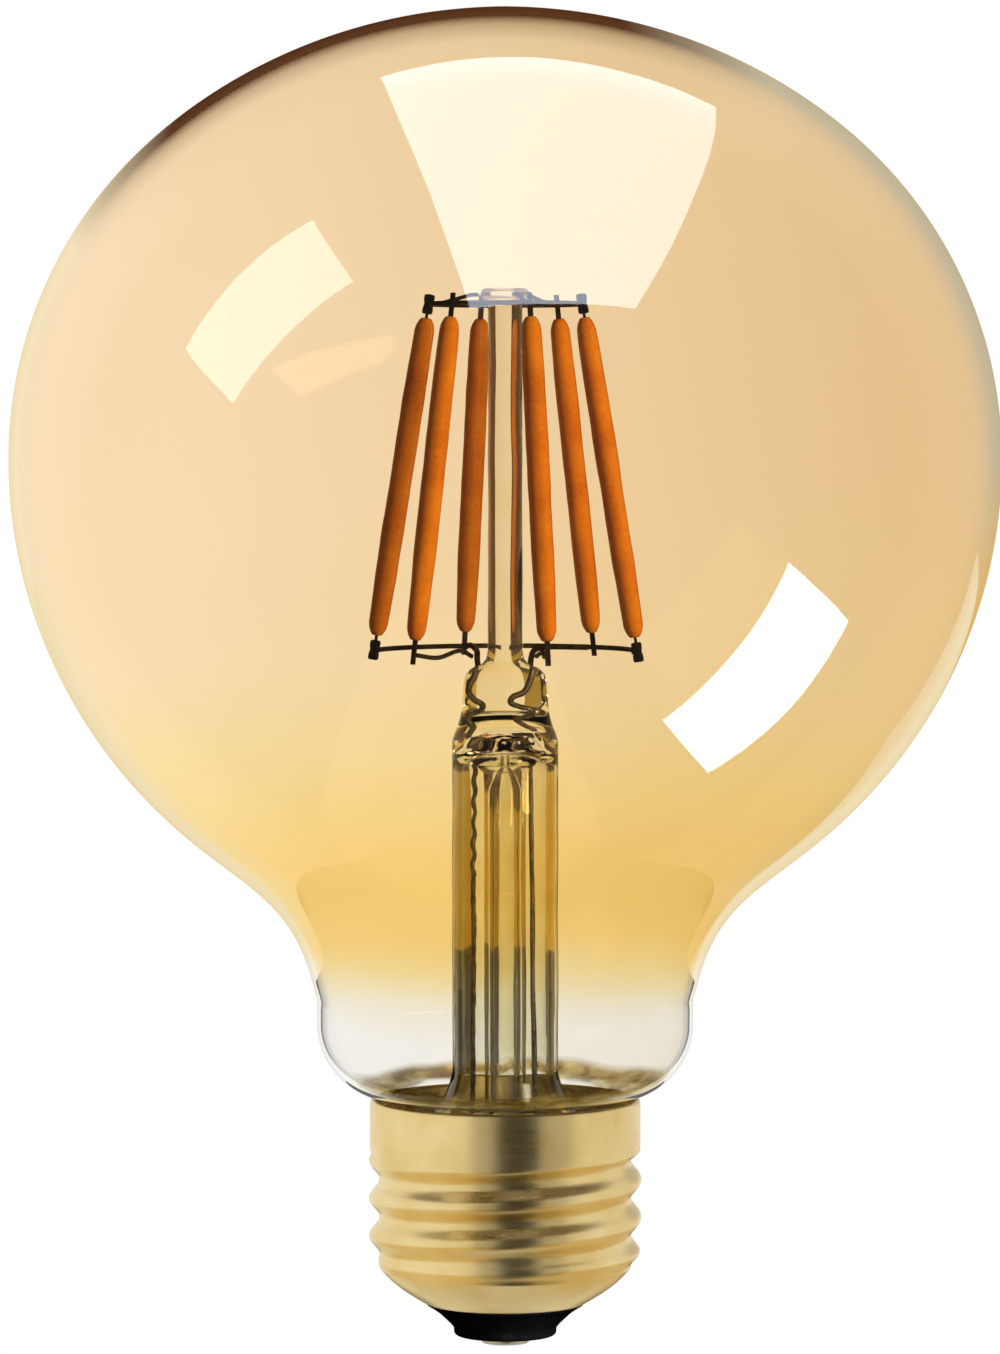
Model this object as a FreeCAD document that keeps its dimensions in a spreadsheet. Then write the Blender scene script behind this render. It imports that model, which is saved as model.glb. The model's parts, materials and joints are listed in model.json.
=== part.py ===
import FreeCAD, Part

import math
import os

import Sketcher

# A globe LED filament bulb with an E27 screw cap, in millimetres.
# The origin is the centre of the centre contact's outer face and +Z runs up the axis to the crown.

Vector = FreeCAD.Vector
ORIGIN = Vector(0, 0, 0)
Z_AXIS = Vector(0, 0, 1)

# Each driving dimension is written once here and kept in the document's spreadsheet.
DIMENSIONS = {
    # Edison screw cap, from its lip upwards
    "thread_crest_radius": 13.15,
    "thread_depth": 1.0,
    "thread_pitch": 3.629,
    "thread_phase_level": 1.4,
    "thread_length": 11.5,
    "thread_runout": 1.8,
    "collar_drop": 0.1,
    "collar_height": 4.8,
    "shell_wall": 0.3,
    "shell_lip_radius": 7.8,
    "shell_lip_level": 4.0,
    "taper_height": 3.4,
    "cement_thickness": 0.65,
    "cement_gap": 0.02,
    "cement_drop": 0.25,
    # blown glass globe
    "globe_radius": 47.5,
    "crown_rise": 43.3,
    "crown_flatness": 2.3,
    "shoulder_radius": 13.0,
    "neck_radius": 18.1,
    "neck_straight": 2.4,
    "neck_round_radius": 7.25,
    "neck_seat_gap": 0.16,
    "glass_wall": 0.7,
    "skirt_depth": 4.3,
    # glass stem
    "flare_radius": 5.1,
    "flare_wall": 0.9,
    "flare_foot_height": 7.0,
    "exhaust_radius": 2.0,
    "exhaust_wall": 0.6,
    "exhaust_tip_drop": 2.4,
    "pinch_drop": 27.1,
    "pinch_height": 7.4,
    "pinch_half_width": 4.2,
    "pinch_half_depth": 2.3,
    "rod_radius": 1.65,
    "button_radius": 2.6,
    "button_thickness": 1.2,
    "button_rise": 0.3,
    # six filaments on a tapered cage
    "cage_top_radius": 7.75,
    "cage_bottom_radius": 12.7,
    "cage_height": 30.6,
    "first_filament_angle": 168.0,
    "sleeve_radius": 1.12,
    "sleeve_end_radius": 0.62,
    "sleeve_end_length": 1.3,
    "strip_width": 0.9,
    "strip_thickness": 0.35,
    "chip_length": 0.55,
    "chip_width": 0.3,
    "chip_height": 0.12,
    "chip_pitch": 1.0,
    "channel_gap": 0.03,
    "tab_width": 0.5,
    "tab_thickness": 0.2,
    "tab_reach": 2.3,
    "tab_inset": 1.0,
    # support and lead wires
    "ring_wire_radius": 0.24,
    "lead_wire_radius": 0.22,
    "bus_rise": 1.3,
    "sleeve_rise": 1.4,
    "top_ring_rise": 1.3,
    "bus_gap_angle": 16.0,
    "weld_gap": 0.02,
    "crimp_size": 0.85,
    "crimp_height": 1.6,
    "lead_stand": 0.43,
    "lead_joint_rise": 2.8,
    "lead_bend_radius": 0.8,
    # insulator and centre contact
    "insulator_tip_radius": 4.95,
    "insulator_lip_height": 0.8,
    "insulator_plug_height": 1.4,
    "seat_gap": 0.05,
    "contact_radius": 2.4,
    "contact_thickness": 0.8,
    "eyelet_radius": 1.4,
    "eyelet_bore_radius": 0.8,
    "eyelet_height": 5.4,
    # driver electronics inside the cap
    "board_clearance": 1.45,
    "board_thickness": 1.0,
    "board_drop": 2.6,
    "capacitor_radius": 3.15,
    "capacitor_height": 6.6,
    "inductor_radius": 2.4,
    "inductor_height": 4.6,
    "bridge_length": 4.8,
    "bridge_width": 3.9,
    "bridge_height": 1.5,
    "ic_length": 3.9,
    "ic_width": 4.9,
    "ic_height": 1.5,
    "resistor_radius": 1.1,
    "resistor_length": 5.6,
    "wireless_length": 12.0,
    "wireless_height": 6.2,
    "wireless_thickness": 0.8,
    "shield_length": 7.0,
    "shield_height": 4.6,
    "shield_depth": 1.6,
    "shield_wall": 0.2,
    "shield_inset": 0.5,
    "antenna_wire_radius": 0.18,
    "antenna_clearance": 0.95,
    "antenna_bend_radius": 3.0,
    "component_gap": 0.05,
    "mains_wire_radius": 0.45,
    "neutral_wire_radius": 0.3,
    "neutral_rise": 3.0,
    "solder_radius": 0.9,
}

# Sizes and levels that follow from the driving ones, as expressions over the same names.
THREAD_ROOT = "(thread_crest_radius - thread_depth)"
COLLAR = "(thread_crest_radius - collar_drop)"
SHELL_BORE = f"({THREAD_ROOT} - shell_wall)"
THREAD_BOTTOM = "(shell_lip_level + taper_height)"
THREAD_TOP = f"({THREAD_BOTTOM} + thread_length)"
RIM_LEVEL = f"({THREAD_TOP} + collar_height)"
SKIRT = f"({COLLAR} - shell_wall - cement_thickness)"
SEAL_LEVEL = f"({RIM_LEVEL} - skirt_depth)"
NECK_ROUND_LEVEL = (
    f"({RIM_LEVEL} + neck_seat_gap"
    f" + sqrt(neck_round_radius^2 - ({SKIRT} - neck_radius + neck_round_radius)^2))"
)
NECK_LEVEL = f"({NECK_ROUND_LEVEL} + neck_straight)"
BELLY_SINE = "((neck_radius + shoulder_radius) / (globe_radius + shoulder_radius))"
WIDEST_LEVEL = f"({NECK_LEVEL} + (globe_radius + shoulder_radius) * sqrt(1 - {BELLY_SINE}^2))"
PINCH_LEVEL = f"({WIDEST_LEVEL} - pinch_drop)"
PINCH_TOP = f"({PINCH_LEVEL} + pinch_height)"
BUS_LEVEL = f"({PINCH_TOP} + bus_rise)"
CAGE_BOTTOM = f"({BUS_LEVEL} + sleeve_rise)"
CAGE_TOP = f"({CAGE_BOTTOM} + cage_height)"
TOP_RING_LEVEL = f"({CAGE_TOP} + top_ring_rise)"
ROD_TOP = f"({TOP_RING_LEVEL} + button_rise)"
CAGE_SLOPE = "((cage_bottom_radius - cage_top_radius) / cage_height)"
FILAMENT_LENGTH = "sqrt((cage_bottom_radius - cage_top_radius)^2 + cage_height^2)"
CHANNEL_WIDTH = "(strip_width + 2 * channel_gap)"
CHANNEL_DEPTH = "(strip_thickness + chip_height + 2 * channel_gap)"
LEAD_OFFSET = "(exhaust_radius + lead_wire_radius + lead_stand)"
LEAD_JOINT = f"({PINCH_LEVEL} + lead_joint_rise)"
EXHAUST_TIP = f"({SEAL_LEVEL} - exhaust_tip_drop)"
BOARD_RADIUS = f"({SHELL_BORE} - board_clearance)"
BOARD_LEVEL = f"({EXHAUST_TIP} - board_drop - board_thickness)"
BOARD_TOP = f"({BOARD_LEVEL} + board_thickness + component_gap)"
BOARD_FOOT = f"({BOARD_LEVEL} - component_gap)"
INSULATOR_RIM = "(shell_lip_radius - seat_gap)"
PLUG_FOOT = "(shell_lip_level + shell_wall + seat_gap)"

FILAMENT_COUNT = 6
# the filaments are numbered round the axis, anticlockwise seen from above, from the left one
OUTER_LEFT, FRONT_LEFT, FRONT_RIGHT, OUTER_RIGHT, BACK_RIGHT, BACK_LEFT = range(1, FILAMENT_COUNT + 1)
SPOKE_COUNT = 3
ANTENNA_STEPS = 6  # points of the antenna's path, at even angles from its start
ANTENNA_STEP_ANGLE = 30
ANTENNA_START = 50
LEAN_ALLOWANCE = 1.02  # a level ring meets the leaning tabs a little obliquely
TIP_ROUNDING = 1.1  # the sealed tip's bend as a share of the exhaust tube's radius
BUTTON_ROUNDING = 0.55  # the button's edge radius as a share of its thickness
SPOKE_SLIMNESS = 0.8  # a spoke's radius as a share of the ring's
THREAD_ROWS = 45  # interpolation rows along the thread
THREAD_COLUMNS = 24  # interpolation columns round half a turn

doc = FreeCAD.newDocument("FilamentBulb")
sheet = doc.addObject("Spreadsheet::Sheet", "Dims")
nodes = []  # every sub-part that is written to a file


def fill_sheet():
    """Write each named dimension to the sheet, with an alias that the expressions use."""
    for row, (name, value) in enumerate(DIMENSIONS.items(), start=1):
        sheet.set("A%d" % row, name)
        sheet.set("B%d" % row, str(value))
        sheet.setAlias("B%d" % row, name)
    doc.recompute()


def size(expression):
    """The value of an expression over the sheet's names, in millimetres or degrees."""
    value = sheet.evalExpression(expression)
    return float(getattr(value, "Value", value))


def bound(expression):
    """The same expression as document objects use it, with the sheet's name before each alias."""
    words = []
    word = ""
    for letter in expression + " ":
        if letter.isalnum() or letter in "_.":
            word += letter
            continue
        words.append("Dims." + word if word in DIMENSIONS else word)
        words.append(letter)
        word = ""
    return "".join(words).strip()


def keep(label, thing):
    """Name a sub-part and put it on the list of nodes."""
    thing.Label = label
    nodes.append(thing)
    return thing


def set_sizes(thing, **sizes):
    """Bind an object's properties to expressions over the sheet."""
    for prop, expression in sizes.items():
        thing.setExpression(prop, bound(expression))


def move_to(thing, x, y, z, rotation=FreeCAD.Rotation()):
    """Put a thing at a position given as expressions."""
    thing.Placement = FreeCAD.Placement(Vector(size(x), size(y), size(z)), rotation)


def origin_feature(body, role):
    """A body's own origin plane or axis."""
    return next(item for item in body.Origin.OriginFeatures if item.Role == role)


def plane_sketch(body, name, role):
    """A sketch on one of the body's own origin planes."""
    sketch = body.newObject("Sketcher::SketchObject", name)
    sketch.AttachmentSupport = [(origin_feature(body, role), "")]
    sketch.MapMode = "FlatFace"
    return sketch


def start_code(sketch, side, start):
    """Which end of a side is its start, because a sketch's arcs always run anticlockwise."""
    first = sketch.Geometry[side].StartPoint
    return 1 if (first - start).Length < 1e-6 else 2


def pin_start(sketch, side, code, across, up):
    """Hold a side's start point at two distances from the origin, bound to the sheet."""
    for kind, axis, text in (("DistanceX", -2, across), ("DistanceY", -1, up)):
        if text == "0":
            sketch.addConstraint(Sketcher.Constraint("PointOnObject", side, code, axis))
            continue
        constraint = Sketcher.Constraint(kind, -1, 1, side, code, size(text))
        index = sketch.addConstraint(constraint)
        sketch.setExpression("Constraints[%d]" % index, bound(text))


def side_arc(start, end, radius, bow):
    """An arc between two corners, kept anticlockwise as a sketch keeps its arcs."""
    chord = end - start
    left = Vector(-chord.y, chord.x, 0).normalize()
    depth = math.sqrt(max(radius ** 2 - (chord.Length / 2) ** 2, 0.0))
    centre = start + chord * 0.5 - left * (bow * depth)
    first, last = (end, start) if bow > 0 else (start, end)
    first_angle = math.atan2(first.y - centre.y, first.x - centre.x)
    last_angle = math.atan2(last.y - centre.y, last.x - centre.x)
    if last_angle < first_angle:
        last_angle += 2 * math.pi
    return Part.ArcOfCircle(Part.Circle(centre, Z_AXIS, radius), first_angle, last_angle)


def outline(sketch, corners, arcs=None):
    """A closed outline through corners, each an (across, up) pair of expressions.

    arcs holds the round sides: side number to (radius expression, bow). A side bows to the left
    of its direction where bow is 1 and to the right where it is -1.
    """
    arcs = arcs or {}
    points = [Vector(size(across), size(up), 0) for across, up in corners]
    count = len(points)
    for side in range(count):
        start, end = points[side], points[(side + 1) % count]
        if side in arcs:
            sketch.addGeometry(side_arc(start, end, size(arcs[side][0]), arcs[side][1]), False)
        else:
            sketch.addGeometry(Part.LineSegment(start, end), False)
    codes = [start_code(sketch, side, points[side]) for side in range(count)]
    for side in range(count):
        following = (side + 1) % count
        joint = Sketcher.Constraint("Coincident", side, 3 - codes[side], following, codes[following])
        sketch.addConstraint(joint)
    for side, (across, up) in enumerate(corners):
        pin_start(sketch, side, codes[side], across, up)
    for side, (radius_text, _) in arcs.items():
        index = sketch.addConstraint(Sketcher.Constraint("Radius", side, size(radius_text)))
        sketch.setExpression("Constraints[%d]" % index, bound(radius_text))


def turned(body, kind, name, corners, arcs=None):
    """A revolution or groove of an outline round the body's Z axis."""
    sketch = plane_sketch(body, name + "Outline", "XZ_Plane")
    outline(sketch, corners, arcs)
    doc.recompute()
    before = body.Shape.Volume if kind == "Groove" else 0.0
    feature = body.newObject("PartDesign::" + kind, name)
    feature.Profile = sketch
    feature.ReferenceAxis = (origin_feature(body, "Z_Axis"), [""])
    feature.Angle = 360
    doc.recompute()
    if kind == "Groove" and body.Shape.Volume > before - 1e-6:
        raise RuntimeError(name + " cuts nothing")
    return feature


def turned_body(label, corners, arcs=None):
    """A sub-part that is one solid of revolution."""
    body = doc.addObject("PartDesign::Body", label)
    turned(body, "Revolution", label + "Turn", corners, arcs)
    return keep(label, body)


def shape_node(label, shape):
    """A sub-part whose form only Part's own functions can make."""
    feature = doc.addObject("Part::Feature", label)
    feature.Shape = shape
    feature.Placement = FreeCAD.Placement()
    return keep(label, feature)


def primitive(kind, name, **sizes):
    """A Part primitive with its sizes bound to the sheet."""
    thing = doc.addObject("Part::" + kind, name)
    set_sizes(thing, **sizes)
    return thing


def cut_node(label, base, tools):
    """A sub-part made as one thing less some tools."""
    tool = tools[0]
    if len(tools) > 1:
        tool = doc.addObject("Part::MultiFuse", label + "Tools")
        tool.Shapes = tools
    cut = doc.addObject("Part::Cut", label)
    cut.Base = base
    cut.Tool = tool
    return keep(label, cut)


def at_angle(radius, degrees, level):
    """A point at a radius and an angle round the axis."""
    turn = math.radians(degrees)
    return Vector(radius * math.cos(turn), radius * math.sin(turn), level)


def bent_rod(points, radius, bend):
    """A round wire through points, with an arc of radius bend at each inner point."""
    edges = []
    last = points[0]
    for before, corner, after in zip(points, points[1:], points[2:]):
        back = (before - corner).normalize()
        ahead = (after - corner).normalize()
        half_turn = (math.pi - back.getAngle(ahead)) / 2
        reach = bend * math.tan(half_turn)
        start, end = corner + back * reach, corner + ahead * reach
        inward = (back + ahead).normalize()
        middle = corner + inward * (bend / math.cos(half_turn) - bend)
        edges.append(Part.LineSegment(last, start).toShape())
        edges.append(Part.Arc(start, middle, end).toShape())
        last = end
    edges.append(Part.LineSegment(last, points[-1]).toShape())
    path = Part.Wire(edges)
    circle = Part.Circle(points[0], points[1] - points[0], radius).toShape()
    rod = path.makePipeShell([Part.Wire(circle)], True, True)
    section = math.pi * radius ** 2
    if abs(rod.Volume - section * path.Length) > 0.01 * rod.Volume:
        raise RuntimeError("a wire's volume differs from its section times its length")
    return rod


# --- glass ---------------------------------------------------------------------------------


def envelope_outline(inset):
    """The globe's outline moved inwards by inset: crown, side, belly, shoulder, neck, skirt."""
    globe = f"(globe_radius - {inset})"
    rise = f"(crown_rise - {inset})"
    side = f"(min(globe_radius; crown_rise) - crown_flatness - {inset})"
    neck = f"(neck_radius - {inset})"
    shoulder = f"(shoulder_radius + {inset})"
    turn = f"(neck_round_radius - {inset})"
    skirt = f"({SKIRT} - {inset})"
    crown = f"({WIDEST_LEVEL} + {rise})"
    # the crown's arc meets the side's arc where both have the same normal
    shift = f"({globe} - {side})"
    crown_radius = f"(({shift}^2 + {rise}^2 - {side}^2) / (2 * ({rise} - {side})))"
    along = f"({crown_radius} / ({crown_radius} - {side}))"
    meet_radius = f"({shift} * {along})"
    meet_level = f"({crown} - {crown_radius} + ({crown_radius} - {rise}) * {along})"
    # the belly's arc meets the shoulder's arc on the line between their centres
    waist_radius = f"({globe} * {BELLY_SINE})"
    waist_level = f"({WIDEST_LEVEL} - {globe} * sqrt(1 - {BELLY_SINE}^2))"
    skirt_level = f"({NECK_ROUND_LEVEL} - sqrt({turn}^2 - ({skirt} - {neck} + {turn})^2))"
    corners = [
        ("0", crown),
        (meet_radius, meet_level),
        (globe, WIDEST_LEVEL),
        (waist_radius, waist_level),
        (neck, NECK_LEVEL),
        (neck, NECK_ROUND_LEVEL),
        (skirt, skirt_level),
        (skirt, SEAL_LEVEL),
        ("0", SEAL_LEVEL),
    ]
    arcs = {
        0: (crown_radius, 1),
        1: (side, 1),
        2: (globe, 1),
        3: (shoulder, -1),
        5: (turn, 1),
    }
    return corners, arcs


def make_globe_envelope():
    """Blown glass: an even wall from the crown to the open neck, where it is fused to the stem."""
    body = doc.addObject("PartDesign::Body", "globe_envelope")
    turned(body, "Revolution", "Globe", *envelope_outline("0"))
    turned(body, "Groove", "GlobeHollow", *envelope_outline("glass_wall"))
    keep("globe_envelope", body)


def make_stem():
    """The stem: flared outer tube, exhaust tube with a sealed tip, pinch, rod and button."""
    inner = "(flare_radius - flare_wall)"
    foot_top = f"({SEAL_LEVEL} + flare_foot_height)"
    foot = f"({SKIRT} - glass_wall - weld_gap)"
    spread = f"({foot} - flare_radius)"
    sweep = f"(({spread}^2 + flare_foot_height^2) / (2 * {spread}))"
    # the foot's two faces are arcs about the same height, so the wall stays even
    turned_body(
        "stem_flare_tube",
        [
            (inner, PINCH_LEVEL),
            ("flare_radius", PINCH_LEVEL),
            ("flare_radius", foot_top),
            (foot, SEAL_LEVEL + " + flare_wall"),
            (foot, SEAL_LEVEL),
            (foot + " - flare_wall", SEAL_LEVEL),
            (inner, foot_top),
        ],
        {2: (sweep, -1), 5: (sweep, 1)},
    )
    bore = "(exhaust_radius - exhaust_wall)"
    tip_bend = f"exhaust_radius * {TIP_ROUNDING}"
    turned_body(
        "exhaust_tube",
        [
            (bore, PINCH_LEVEL),
            (bore, EXHAUST_TIP + " + exhaust_radius"),
            ("0", EXHAUST_TIP + " + exhaust_wall"),
            ("0", EXHAUST_TIP),
            ("exhaust_radius", EXHAUST_TIP + " + exhaust_radius"),
            ("exhaust_radius", PINCH_LEVEL),
        ],
        {3: (tip_bend, -1)},
    )
    make_stem_pinch()
    make_rod()


def make_stem_pinch():
    """The flattened glass that seals both leads: lofted from round to flat, with two channels."""
    # level above the pinch's foot, half width and half depth of each section
    sections = [
        ("0", "flare_radius", "flare_radius"),
        ("pinch_height * 0.18", "pinch_half_width * 1.1", "(flare_radius + pinch_half_depth) / 2"),
        ("pinch_height * 0.4", "pinch_half_width", "pinch_half_depth"),
        ("pinch_height * 0.8", "pinch_half_width * 0.97", "pinch_half_depth * 0.95"),
        ("pinch_height", "pinch_half_width * 0.8", "pinch_half_depth * 0.75"),
    ]
    loft = doc.addObject("Part::Loft", "PinchGlass")
    rings = []
    for number, (level, width, depth) in enumerate(sections):
        ring = primitive("Ellipse", "PinchSection%d" % number, MajorRadius=width, MinorRadius=depth)
        move_to(ring, "0", "0", PINCH_LEVEL + " + " + level)
        rings.append(ring)
    loft.Sections = rings
    loft.Solid = True
    channels = []
    for side in ("", "-"):
        channel = primitive(
            "Cylinder",
            "LeadChannel%d" % len(channels),
            Radius="lead_wire_radius + weld_gap",
            Height="pinch_height * 1.4",
        )
        move_to(channel, side + LEAD_OFFSET, "0", PINCH_LEVEL + " - pinch_height * 0.2")
        channels.append(channel)
    cut_node("stem_pinch", loft, channels)


def make_rod():
    """The solid glass rod on the pinch, and the button that holds the upper support wires."""
    rod = primitive(
        "Cylinder", "support_rod", Radius="rod_radius", Height=ROD_TOP + " - " + PINCH_TOP
    )
    move_to(rod, "0", "0", PINCH_TOP)
    keep("support_rod", rod)
    edge = f"button_thickness * {BUTTON_ROUNDING}"
    side = "button_radius - button_thickness / 2"
    turned_body(
        "rod_button",
        [
            ("0", ROD_TOP),
            (side, ROD_TOP),
            (side, ROD_TOP + " + button_thickness"),
            ("0", ROD_TOP + " + button_thickness"),
        ],
        {1: (edge, -1)},
    )


# --- filaments -----------------------------------------------------------------------------


def cage_radius(level):
    """The cage's radius at a level: the filaments stand on a straight cone."""
    return size("cage_bottom_radius") - (level - size(CAGE_BOTTOM)) * size(CAGE_SLOPE)


def filament_angle(number):
    """The filaments stand at even angles round the axis."""
    return size("first_filament_angle") + (number - 1) * 360 / FILAMENT_COUNT


def filament_placement(number):
    """From a filament's own frame, with its lower end at the origin, to its place on the cage."""
    angle = filament_angle(number)
    foot = at_angle(size("cage_bottom_radius"), angle, size(CAGE_BOTTOM))
    lean = math.degrees(math.atan(size(CAGE_SLOPE)))
    turn = FreeCAD.Rotation(Z_AXIS, angle).multiply(FreeCAD.Rotation(Vector(0, 1, 0), -lean))
    return FreeCAD.Placement(foot, turn)


def make_filament_sleeve(number, placement):
    """The phosphor sleeve: a slim round rod with drawn-in ends and a channel for the strip."""
    label = "filament_sleeve_%d" % number
    body = doc.addObject("PartDesign::Body", label)
    taper = "(sleeve_radius - sleeve_end_radius)"
    nose = f"(({taper}^2 + sleeve_end_length^2) / (2 * {taper}))"
    corners = [
        ("0", "0"),
        ("sleeve_end_radius", "0"),
        ("sleeve_radius", "sleeve_end_length"),
        ("sleeve_radius", FILAMENT_LENGTH + " - sleeve_end_length"),
        ("sleeve_end_radius", FILAMENT_LENGTH),
        ("0", FILAMENT_LENGTH),
    ]
    turned(body, "Revolution", label + "Turn", corners, {1: (nose, -1), 3: (nose, -1)})
    sketch = plane_sketch(body, label + "Channel", "XY_Plane")
    depth, width = CHANNEL_DEPTH + " / 2", CHANNEL_WIDTH + " / 2"
    outline(
        sketch,
        [("-" + depth, "-" + width), (depth, "-" + width), (depth, width), ("-" + depth, width)],
    )
    before = body.Shape.Volume
    pocket = body.newObject("PartDesign::Pocket", label + "Pocket")
    pocket.Profile = sketch
    pocket.Type = "ThroughAll"
    pocket.Reversed = True
    doc.recompute()
    if body.Shape.Volume > before - 1:
        raise RuntimeError(label + " has no channel")
    body.Placement = placement
    keep(label, body)


def in_filament(placement, x, y, z):
    """A placement moved within a filament's own frame."""
    return placement.multiply(FreeCAD.Placement(Vector(x, y, z), FreeCAD.Rotation()))


def make_filament_strip(number, placement):
    """The transparent strip that carries the chips."""
    inset = size("tab_inset")
    strip = primitive(
        "Box",
        "filament_strip_%d" % number,
        Length="strip_thickness",
        Width="strip_width",
        Height=FILAMENT_LENGTH + " - 2 * tab_inset",
    )
    left = -size("strip_thickness + chip_height") / 2
    strip.Placement = in_filament(placement, left, -size("strip_width") / 2, inset)
    keep(strip.Name, strip)


def make_led_chips(number, placement):
    """One row of small chips along the strip's outer face."""
    pitch = size("chip_pitch")
    length = size(FILAMENT_LENGTH)
    free = length - 4 * size("tab_inset")
    count = int(free / pitch)
    face = size("strip_thickness - chip_height") / 2
    first = (length - (count - 1) * pitch - size("chip_length")) / 2
    chips = []
    for index in range(count):
        corner = Vector(face, -size("chip_width") / 2, first + index * pitch)
        chips.append(
            Part.makeBox(size("chip_height"), size("chip_width"), size("chip_length"), corner)
        )
    feature = shape_node("led_chips_%d" % number, Part.makeCompound(chips))
    feature.Placement = placement


def make_filament_tabs(number, placement):
    """The flat metal tabs that leave both ends of a filament for the support wires."""
    length = size("tab_reach + tab_inset - channel_gap")
    low = -size("tab_reach")
    high = size(FILAMENT_LENGTH + " - tab_inset + channel_gap")
    thickness, width = size("tab_thickness"), size("tab_width")
    tabs = [
        Part.makeBox(thickness, width, length, Vector(-thickness / 2, -width / 2, start))
        for start in (low, high)
    ]
    feature = shape_node("filament_tabs_%d" % number, Part.makeCompound(tabs))
    feature.Placement = placement


def make_filaments():
    for number in range(1, FILAMENT_COUNT + 1):
        placement = filament_placement(number)
        make_filament_sleeve(number, placement)
        make_filament_strip(number, placement)
        make_led_chips(number, placement)
        make_filament_tabs(number, placement)


# --- support and lead wires ----------------------------------------------------------------


def wire_ring_radius(level):
    """A ring that just clears the inner face of the tabs at its level."""
    return cage_radius(level) - size("tab_thickness / 2 + ring_wire_radius + weld_gap") * LEAN_ALLOWANCE


def ring_arc(label, level, start, sweep):
    """A round wire bent into an arc about the axis."""
    arc = primitive("Torus", label, Radius2="ring_wire_radius")
    arc.Radius1 = wire_ring_radius(level)
    arc.Angle3 = sweep
    arc.Placement = FreeCAD.Placement(Vector(0, 0, level), FreeCAD.Rotation(Z_AXIS, start))
    return keep(label, arc)


def make_upper_supports():
    """The closed upper ring, and spokes that end in the glass button."""
    ring_level = size(TOP_RING_LEVEL)
    ring_arc("top_ring_wire", ring_level, 0, 360)
    level = size(ROD_TOP + " + button_thickness / 2")
    ring_radius = wire_ring_radius(ring_level)
    wire = size("ring_wire_radius")
    start_radius = size("button_radius + weld_gap")
    turn_radius = size("button_radius") + 3 * wire
    end_radius = ring_radius - 2 * wire - size("weld_gap")
    spokes = []
    for index in range(SPOKE_COUNT):
        angle = filament_angle(1) + index * 360 / SPOKE_COUNT
        points = [
            at_angle(start_radius, angle, level),
            at_angle(turn_radius, angle, level),
            at_angle(end_radius, angle, ring_level),
        ]
        spokes.append(bent_rod(points, wire * SPOKE_SLIMNESS, 2 * wire))
    shape_node("top_spoke_wires", Part.makeCompound(spokes))


def make_bus_wires():
    """Two bus wires of opposite polarity behind the cage, parted by a gap at the back."""
    half_gap = size("bus_gap_angle") / 2
    first = filament_angle(OUTER_LEFT)
    last = filament_angle(OUTER_RIGHT) - 360
    back = 90
    level = size(BUS_LEVEL)
    ring_arc("lower_bus_left", level, back + half_gap, first - back - half_gap)
    ring_arc("lower_bus_right", level, last, back - half_gap - last)


def make_crimps():
    """Crimped sleeves on the outer ends of the bus wires and beside them on the upper ring."""
    crimp = size("crimp_size")
    height = size("crimp_height")
    for label, level in (("upper_crimps", size(TOP_RING_LEVEL)), ("lower_crimps", size(BUS_LEVEL))):
        blocks = []
        for number in (OUTER_LEFT, OUTER_RIGHT):
            angle = filament_angle(number)
            radius = cage_radius(level)
            block = Part.makeBox(crimp, crimp, height, Vector(-crimp / 2, -crimp / 2, -height / 2))
            lean = filament_placement(number).Rotation
            block.Placement = FreeCAD.Placement(at_angle(radius, angle, level), lean)
            blocks.append(block)
        crimps = Part.makeCompound(blocks)
        for wire in nodes:
            if wire.Label.startswith(("filament_tabs", "top_ring", "lower_bus")):
                crimps = crimps.cut(wire.Shape)
        shape_node(label, Part.makeCompound(crimps.Solids))


def make_leads():
    """Leads through the pinch: curled inner leads to the bus wires, outer leads to the board."""
    radius = size("lead_wire_radius")
    bend = size("lead_bend_radius")
    offset = size(LEAD_OFFSET)
    joint = size(LEAD_JOINT)
    level = size(BUS_LEVEL)
    bus_radius = wire_ring_radius(level) - size("ring_wire_radius + 3 * weld_gap")
    tab_radius = wire_ring_radius(level) + size("ring_wire_radius")
    foot = size(BOARD_TOP)
    below_pinch = size(PINCH_LEVEL + " - lead_joint_rise")
    foot_offset = size("(flare_radius - flare_wall + exhaust_radius) / 2")
    sides = ((-1, "left", BACK_LEFT, FRONT_LEFT), (1, "right", BACK_RIGHT, FRONT_RIGHT))
    for side, name, back_filament, front_filament in sides:
        wire_end = at_angle(bus_radius, filament_angle(back_filament), level)
        exit_point = Vector(side * offset, 0, level)
        inner = [Vector(side * offset, 0, joint), exit_point, wire_end]
        shape_node("inner_lead_" + name, bent_rod(inner, radius, bend))
        tab_end = at_angle(tab_radius - radius, filament_angle(front_filament), level)
        near = Vector(side * (offset + 2 * radius + size("weld_gap")), 0, level)
        branch = [near, near + Vector(side * bend, -bend, 0), tab_end]
        shape_node("branch_wire_" + name, bent_rod(branch, radius, bend))
        outer = [
            Vector(side * offset, 0, joint - size("weld_gap")),
            Vector(side * offset, 0, below_pinch),
            Vector(side * foot_offset, 0, foot),
        ]
        shape_node("outer_lead_" + name, bent_rod(outer, radius, 4 * bend))


# --- cap -----------------------------------------------------------------------------------


def smooth_step(value):
    """0 below 0, 1 above 1 and an even curve between."""
    value = min(max(value, 0.0), 1.0)
    return value * value * (3 - 2 * value)


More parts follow.
